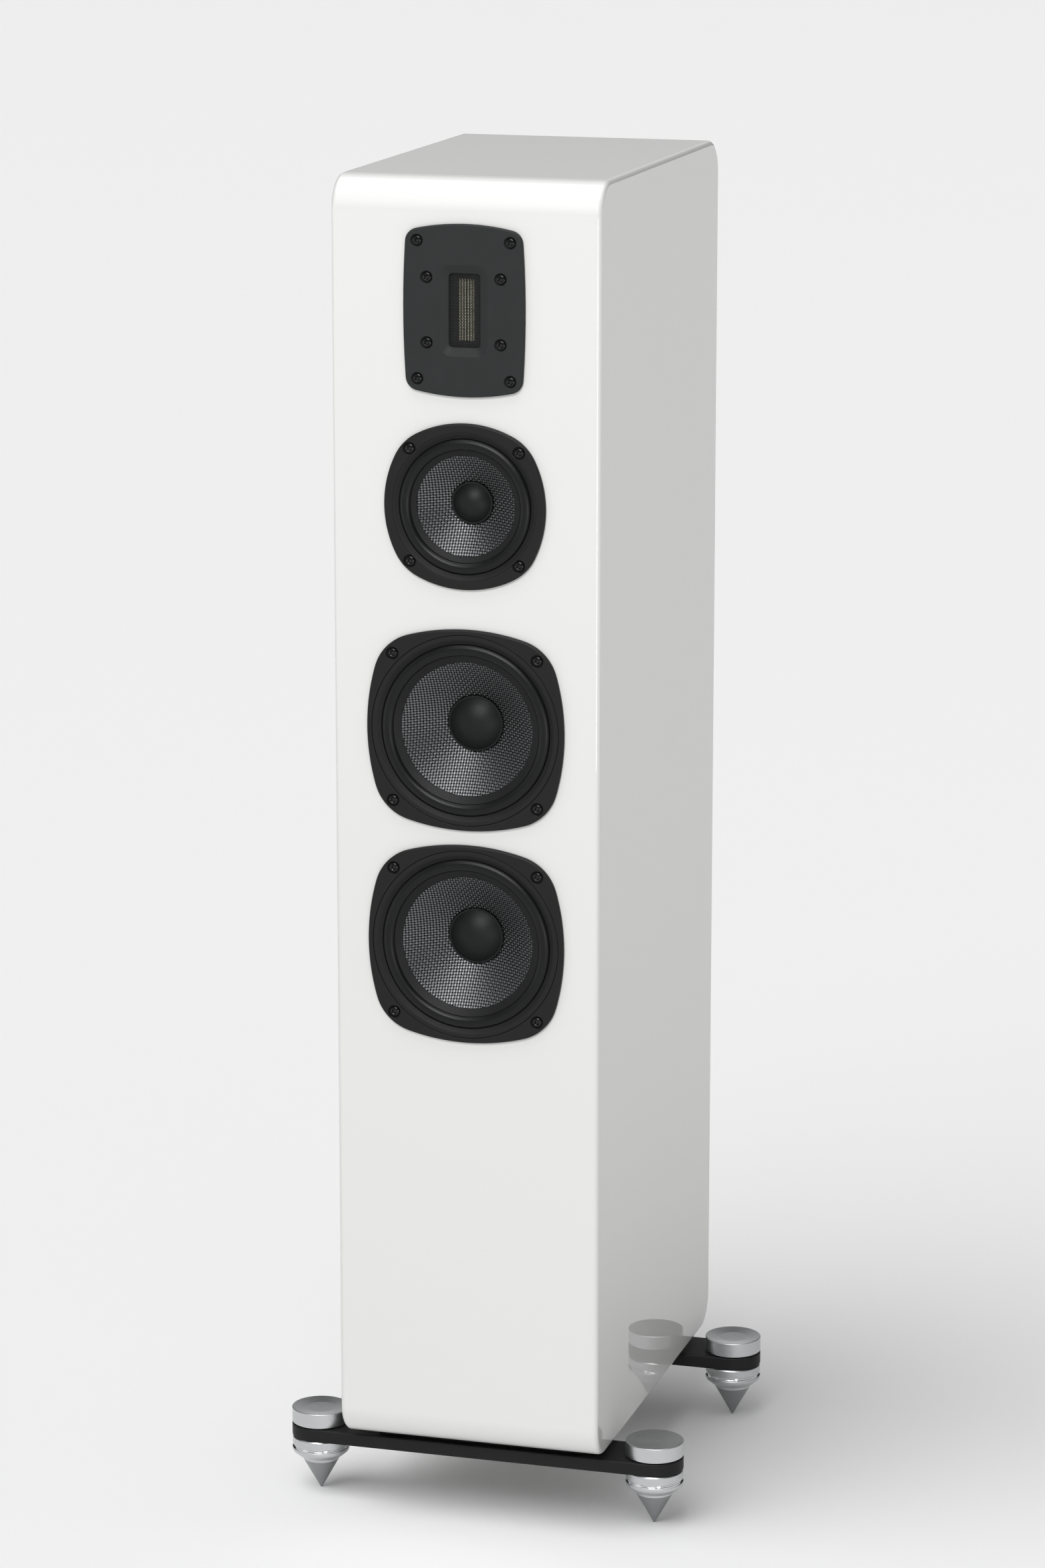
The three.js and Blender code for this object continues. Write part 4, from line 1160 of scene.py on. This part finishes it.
def add_tweeter_mesh():
    """Woven wire gauze stretched behind the window."""
    low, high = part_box("tweeter_mesh")
    width = high.x - low.x
    height = high.z - low.z
    pitch = 1.1 * MM
    radius = 0.19 * MM
    lift = 0.2 * MM
    wires = []
    columns = int(width / pitch)
    rows = int(height / pitch)
    for i in range(rows):
        z = (i - (rows - 1) / 2) * pitch
        wires.append(moved(wire(width, pitch, lift, radius, i * math.pi), 0, 0, z))
    for i in range(columns):
        x = (i - (columns - 1) / 2) * pitch
        vertices, faces = wire(height, pitch, lift, radius, (i + 1) * math.pi)
        upright = [(c, b, a) for a, b, c in vertices]
        wires.append(moved((upright, faces), x, 0, 0))
    piece = new_object("tweeter_gauze", merged(wires), (low + high) / 2)
    finish_piece(piece, "black_mesh", replaces=("tweeter_mesh",))


def add_tweeter_foil():
    """Foil in fine rounded pleats across its length."""
    low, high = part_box("tweeter_ribbon")
    half = (high.x - low.x) / 2
    length = high.z - low.z
    pleats = 22
    depth = 0.55 * MM
    foil = 0.1 * MM
    front = []
    for share in np.linspace(0, 1, 10 * pleats + 1):
        z = (share - 0.5) * length
        front.append((depth * math.cos(FULL_TURN * pleats * share), z))
    outline = front + [(y + foil, z) for y, z in reversed(front)]
    loops = [[(x, y, z) for y, z in outline] for x in np.linspace(-half, half, 9)]
    vertices, faces = skin(loops, closed=False)
    caps = faces[-2:]
    del faces[-2:]
    count = len(front)
    for cap in caps:
        for i in range(count - 1):
            faces.append((cap[i], cap[i + 1], cap[-2 - i], cap[-1 - i]))
    piece = new_object("tweeter_foil", (vertices, faces), (low + high) / 2)
    finish_piece(piece, "ribbon_foil", replaces=("tweeter_ribbon",))


# ------------------------------------------------------------------ passive radiators

RADIATOR_FACET = math.pi / 16  # half a facet of the CAD racetracks, whose flats face sideways


def radiator_sizes(name):
    low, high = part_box(f"{name}_frame")
    panel_low, panel_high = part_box(f"{name}_diaphragm")
    to_radius = 1 / math.cos(RADIATOR_FACET)
    outer = (high.x - low.x) / 2 * to_radius
    straight = (high.z - low.z) / 2 - (high.x - low.x) / 2
    rim = half_width(f"{name}_surround") * to_radius
    return {
        "centre": Vector((0, BACK_FACE, middle(f"{name}_frame").z)),
        "outer": outer,
        "straight_half": straight,
        "front": BACK_FACE - high.y,
        "neck_inner": rim + GAP,
        "neck_outer": rim + 1.8 * MM,
        "rim": rim,
        "roll_outer": rim - 1.7 * MM,
        "panel": half_width(f"{name}_diaphragm") * to_radius,
        "panel_front": BACK_FACE - panel_high.y,
        "panel_back": BACK_FACE - panel_low.y,
    }


def add_radiator(name):
    d = radiator_sizes(name)
    straight = d["straight_half"]

    def around_track(suffix, profile, closed=True):
        shape = turned(profile, 160, closed=closed, straight_half=straight)
        return new_object(f"{name}_{suffix}", shape, d["centre"], facing_back=True)

    shelf = 0.7 * MM
    neck_end = 6 * MM
    inner = d["roll_outer"] - 0.5 * MM
    cast = around_track("cast_frame", filleted([
        (d["outer"], -0.1 * MM, 0),
        (d["outer"], d["front"], 1.5 * MM),
        (d["neck_inner"], d["front"], 1.2 * MM),
        (d["neck_inner"], shelf, 0),
        (inner, shelf, 0.2 * MM),
        (inner, neck_end, 0.5 * MM),
        (d["neck_outer"], neck_end, 0.5 * MM),
        (d["neck_outer"], -0.1 * MM, 0),
    ]))
    finish_piece(cast, "black_plate", replaces=(f"{name}_frame",))

    roll = around_track("roll_surround", roll_profile(
        d["rim"], d["roll_outer"], d["panel"] + 3.5 * MM, d["panel"] + GAP, 0, d["front"] + 0.1 * MM))
    finish_piece(roll, "black_rubber", body=None, replaces=(f"{name}_surround",))
    blend_outwards(
        roll, d["centre"], straight)

    dish = 0.8 * MM
    panel = around_track("panel", filleted([
        (0.1 * MM, d["panel_front"] + dish, 0),
        (d["panel"] * 0.78, d["panel_front"] + dish, 2 * MM),
        (d["panel"] * 0.86, d["panel_front"], 2 * MM),
        (d["panel"], d["panel_front"], 0.5 * MM),
        (d["panel"], d["panel_back"], 0.3 * MM),
        (0.1 * MM, d["panel_back"], 0),
    ], closed=False), closed=False)
    finish_piece(panel, "diaphragm_plastic", body=f"{name}_moving", replaces=(f"{name}_diaphragm",))


# ------------------------------------------------------------------ terminals

TERMINAL_BODY = 37 * MM  # half width of the part that goes into the cabinet
TERMINAL_SCREW = 37.5 * MM  # from the middle of the cup, both across and up


def add_terminals():
    low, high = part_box("terminal_cup")
    centre = Vector((0, BACK_FACE, middle("terminal_cup").z))
    half = (high.x - low.x) / 2
    front = BACK_FACE - high.y
    depth = BACK_FACE - low.y
    wall = 2 * MM
    angles = around(240)

    def square(size, radius):
        return reach(rounded_rectangle(size, size, radius), angles)

    mouth = TERMINAL_BODY - wall
    bowl = filleted([
        (mouth + 2 * MM, front, 0),
        (mouth, front, 1 * MM),
        (mouth - 1 * MM, depth - wall, 1.5 * MM),
        (mouth - 8 * MM, depth - wall, 0),
    ], closed=False)
    rings = [(np.zeros(240), depth), (square(TERMINAL_BODY, 4 * MM), depth)]
    rings.append((square(TERMINAL_BODY, 4 * MM), -0.1 * MM))
    rings += soft_skirt(lambda inset: square(half - inset, 8 * MM - inset), -0.1 * MM, front, 1.2 * MM)
    rings += [(square(size, 4 * MM), y) for size, y in bowl]
    rings.append((np.zeros(240), depth - wall))
    cup = new_object("terminal_bowl", stacked(rings, angles, closed=False), centre, facing_back=True)
    places = square_corners(TERMINAL_SCREW, TERMINAL_SCREW)
    carve(cup, [moved(pocket(3.4 * MM, front), x, 0, z) for x, z in places])
    finish_piece(cup, "black_plastic", replaces=("terminal_cup",))
    screws = screw_set("terminal_screws", places, front, centre, head=2.7 * MM, facing_back=True)
    finish_piece(screws, "screw_black")
    for name in NUTS:
        add_binding_post(name, BACK_FACE - depth + wall)


def add_binding_post(name, floor_depth):
    """A threaded stud fixed to the cup, and a fluted nut with a coloured ring that turns on it."""
    node = f"terminal_nut_{name}"
    low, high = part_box(node)
    place = (middle(node).x, 0, middle(node).z)
    radius = half_width(node)
    flutes = 18
    angles = around(12 * flutes)
    fluting = 1 - 0.07 * (0.5 + 0.5 * np.cos(flutes * angles)) ** 3
    ring_start = high.y - 3.2 * MM
    groove = radius - 0.8 * MM
    ring = radius - 0.2 * MM
    bore = 2.3 * MM
    profile = [
        (bore, low.y, False),
        (radius - 0.9 * MM, low.y, False),
        (radius - 0.3 * MM, low.y + 0.5 * MM, True),
        (radius, low.y + 0.9 * MM, True),
        (radius, ring_start - 1.3 * MM, True),
        (radius - 0.1 * MM, ring_start - 0.8 * MM, True),
        (groove, ring_start - 0.4 * MM, False),
        (groove, ring_start, False),
        (ring, ring_start + 0.2 * MM, False),
        (ring, high.y - 0.4 * MM, False),
        (radius - 0.6 * MM, high.y, False),
        (bore + 1.2 * MM, high.y, False),
        (bore + 1.1 * MM, high.y - 0.3 * MM, False),
        (bore, high.y - 0.3 * MM, False),
    ]
    smooth_side = np.ones_like(angles)
    rings = [(r * (fluting if fluted else smooth_side), y) for r, y, fluted in profile]
    nut = new_object(f"{node}_fluted", stacked(rings, angles), place)
    finish_piece(nut, "gold_plate", body=f"nut_{name}", replaces=(node,))
    ring_look = "red_plastic" if "right" in name else "black_plastic"
    paint(nut, ring_look, lambda c: c.y > ring_start and math.hypot(c.x, c.z) > bore + 1.15 * MM)
    stud_radius = 2 * MM
    root = floor_depth - 0.2 * MM
    tip = high.y + 2 * MM
    stud_profile = [(0, root), (stud_radius, root)]
    stud_profile += thread(stud_radius, floor_depth, tip - 0.4 * MM, 0.7 * MM, 0.3 * MM)
    stud_profile += [(stud_radius - 0.4 * MM, tip), (0, tip)]
    stud = new_object(f"terminal_stud_{name}", turned(stud_profile, 48, closed=False), place)
    finish_piece(stud, "gold_plate")


# ------------------------------------------------------------------ base


def stadium(straight_half, radius, angles):
    """Points of a bar with round ends, whose straight sides run along X."""
    points = []
    for a in angles:
        shift = straight_half if math.cos(a) > 0 else -straight_half
        points.append((shift + radius * math.cos(a), radius * math.sin(a)))
    return points


def add_outrigger(row):
    name = f"outrigger_{row}"
    low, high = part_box(name)
    foot = middle(f"foot_cap_{row}_right")
    centre = middle(name)
    radius = (high.y - low.y) / 2
    straight = (high.x - low.x) / 2 - radius
    cap_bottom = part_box(f"foot_cap_{row}_right")[0].z
    bar_top = cap_bottom - 0.8 * MM
    edge = 1.1 * MM
    count = 96
    angles = around(count) + math.pi / count
    section = filleted([
        (radius, low.z, edge),
        (radius, bar_top, edge),
        (0, bar_top, 0),
        (0, low.z, 0),
    ], 5)
    outer = [p for p in section if p[0] > radius - 2 * edge]
    loops = [[(x, y, z) for x, y in stadium(straight, r, angles)] for r, z in outer]
    bar = new_object(f"{name}_bar", skin(loops, closed=False), (0, centre.y, 0))
    shaft = 5.3 * MM
    holes = [
        moved(turned([(shaft, low.z - 0.01), (shaft, bar_top + 0.01)], 48, "Z", closed=False), x)
        for x in (-foot.x, foot.x)
    ]
    carve(bar, holes)
    finish_piece(bar, "black_powder_coat", replaces=(name,))
    pad_x = 80 * MM
    pad_y = 15 * MM
    pad = box_shape((-pad_x, -pad_y, bar_top - 0.2 * MM), (pad_x, pad_y, high.z))
    finish_piece(new_object(f"{name}_pad", pad, (0, centre.y, 0)), "black_powder_coat")


def thread(radius, bottom, top, pitch=1.5 * MM, depth=0.8 * MM):
    """(radius, height) points of a screw thread seen in section, from bottom to top."""
    turns = int((top - bottom) / pitch)
    points = []
    for i in range(turns):
        start = bottom + i * pitch
        points += [
            (radius - depth, start + 0.1 * pitch),
            (radius, start + 0.45 * pitch),
            (radius, start + 0.6 * pitch),
            (radius - depth, start + 0.95 * pitch),
        ]
    return points


def add_foot(foot):
    """A dished lock cap over the bar, and the collar and spike under it on one threaded shaft."""
    cap_node = f"foot_cap_{foot}"
    spike_node = f"foot_spike_{foot}"
    cap_low, cap_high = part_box(cap_node)
    x, y, _ = middle(cap_node)
    radius = half_width(cap_node)
    shaft = 5 * MM
    shaft_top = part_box(spike_node)[1].z
    collar_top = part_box(f"outrigger_{foot.split('_')[0]}")[0].z - GAP

    dish = 1.6 * MM
    cap_profile = filleted([
        (0, shaft_top + GAP, 0),
        (shaft + GAP, shaft_top + GAP, 0),
        (shaft + GAP, cap_low.z, 0),
        (radius, cap_low.z, 0.4 * MM),
        (radius, cap_high.z, 0.55 * MM),
        (radius - 1.2 * MM, cap_high.z - 0.1 * MM, 0.3 * MM),
        (radius * 0.5, cap_high.z - dish * 0.78, 12 * MM),
        (0, cap_high.z - dish, 0),
    ], 6, closed=False)
    cap = new_object(f"{cap_node}_turned", turned(cap_profile, 128, "Z", closed=False), (x, y, 0))
    finish_piece(cap, "satin_aluminium", body=f"cap_{foot}", replaces=(cap_node,))

    cone_top = 24.3 * MM
    groove_bottom = 34 * MM
    groove_top = 36.5 * MM
    groove = radius - 1.5 * MM
    band = radius - 0.2 * MM
    profile = filleted([
        (0, 0, 0),
        (0.6 * MM, 0.2 * MM, 0.3 * MM),
        (14 * MM, cone_top, 0.4 * MM),
        (14.5 * MM, 26.3 * MM, 0.5 * MM),
        (16.5 * MM, 26.9 * MM, 1.5 * MM),
        (radius, 31.4 * MM, 3 * MM),
        (radius, groove_bottom, 0.3 * MM),
        (groove, groove_bottom + 0.7 * MM, 0.4 * MM),
        (groove, groove_top - 0.9 * MM, 0.4 * MM),
        (band, groove_top, 0.4 * MM),
        (band, collar_top - 1 * MM, 0.3 * MM),
        (radius - 0.9 * MM, collar_top, 0.3 * MM),
        (shaft, collar_top, 0),
    ], 5, closed=False)
    profile += thread(shaft, collar_top, shaft_top - 0.5 * MM)
    profile += [(shaft - 1 * MM, shaft_top), (0, shaft_top)]
    spike = new_object(f"{spike_node}_turned", turned(profile, 128, "Z", closed=False), (x, y, 0))
    finish_piece(spike, "satin_aluminium", body=f"spike_{foot}", replaces=(spike_node,))
    paint(spike, "cone_steel", lambda c: c.z < cone_top)
    paint(spike, "polished_aluminium",
          lambda c: groove_bottom + 0.1 * MM < c.z < groove_top - 0.1 * MM)


# ------------------------------------------------------------------ pieces kept from the CAD part

KEPT_LOOKS = {
    "shelf_upper": "bare_board",
    "shelf_middle": "bare_board",
    "window_brace": "bare_board",
    "tweeter_magnet_frame": "black_plate",
    "tweeter_rear_cover": "black_plastic",
    "crossover_board": "circuit_board",
    "crossover_inductor": "copper_wire",
    "terminal_link_left": "gold_plate",
    "terminal_link_right": "gold_plate",
}


def dress_kept_nodes():
    kept = dict(KEPT_LOOKS)
    for name in DRIVERS:
        kept[f"{name}_voice_coil"] = "copper_wire"
        kept[f"{name}_motor"] = "magnet_steel"
    for node, look in kept.items():
        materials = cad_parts[node].data.materials
        materials.clear()
        materials.append(looks[look])


add_camera()
add_studio()
add_cabinet()
for driver in DRIVERS:
    add_driver(driver)
add_tweeter_plate()
add_tweeter_mesh()
add_tweeter_foil()
for radiator in RADIATORS:
    add_radiator(radiator)
add_terminals()
for bar_row in ("front", "rear"):
    add_outrigger(bar_row)
for foot_name in FEET:
    add_foot(foot_name)
dress_kept_nodes()
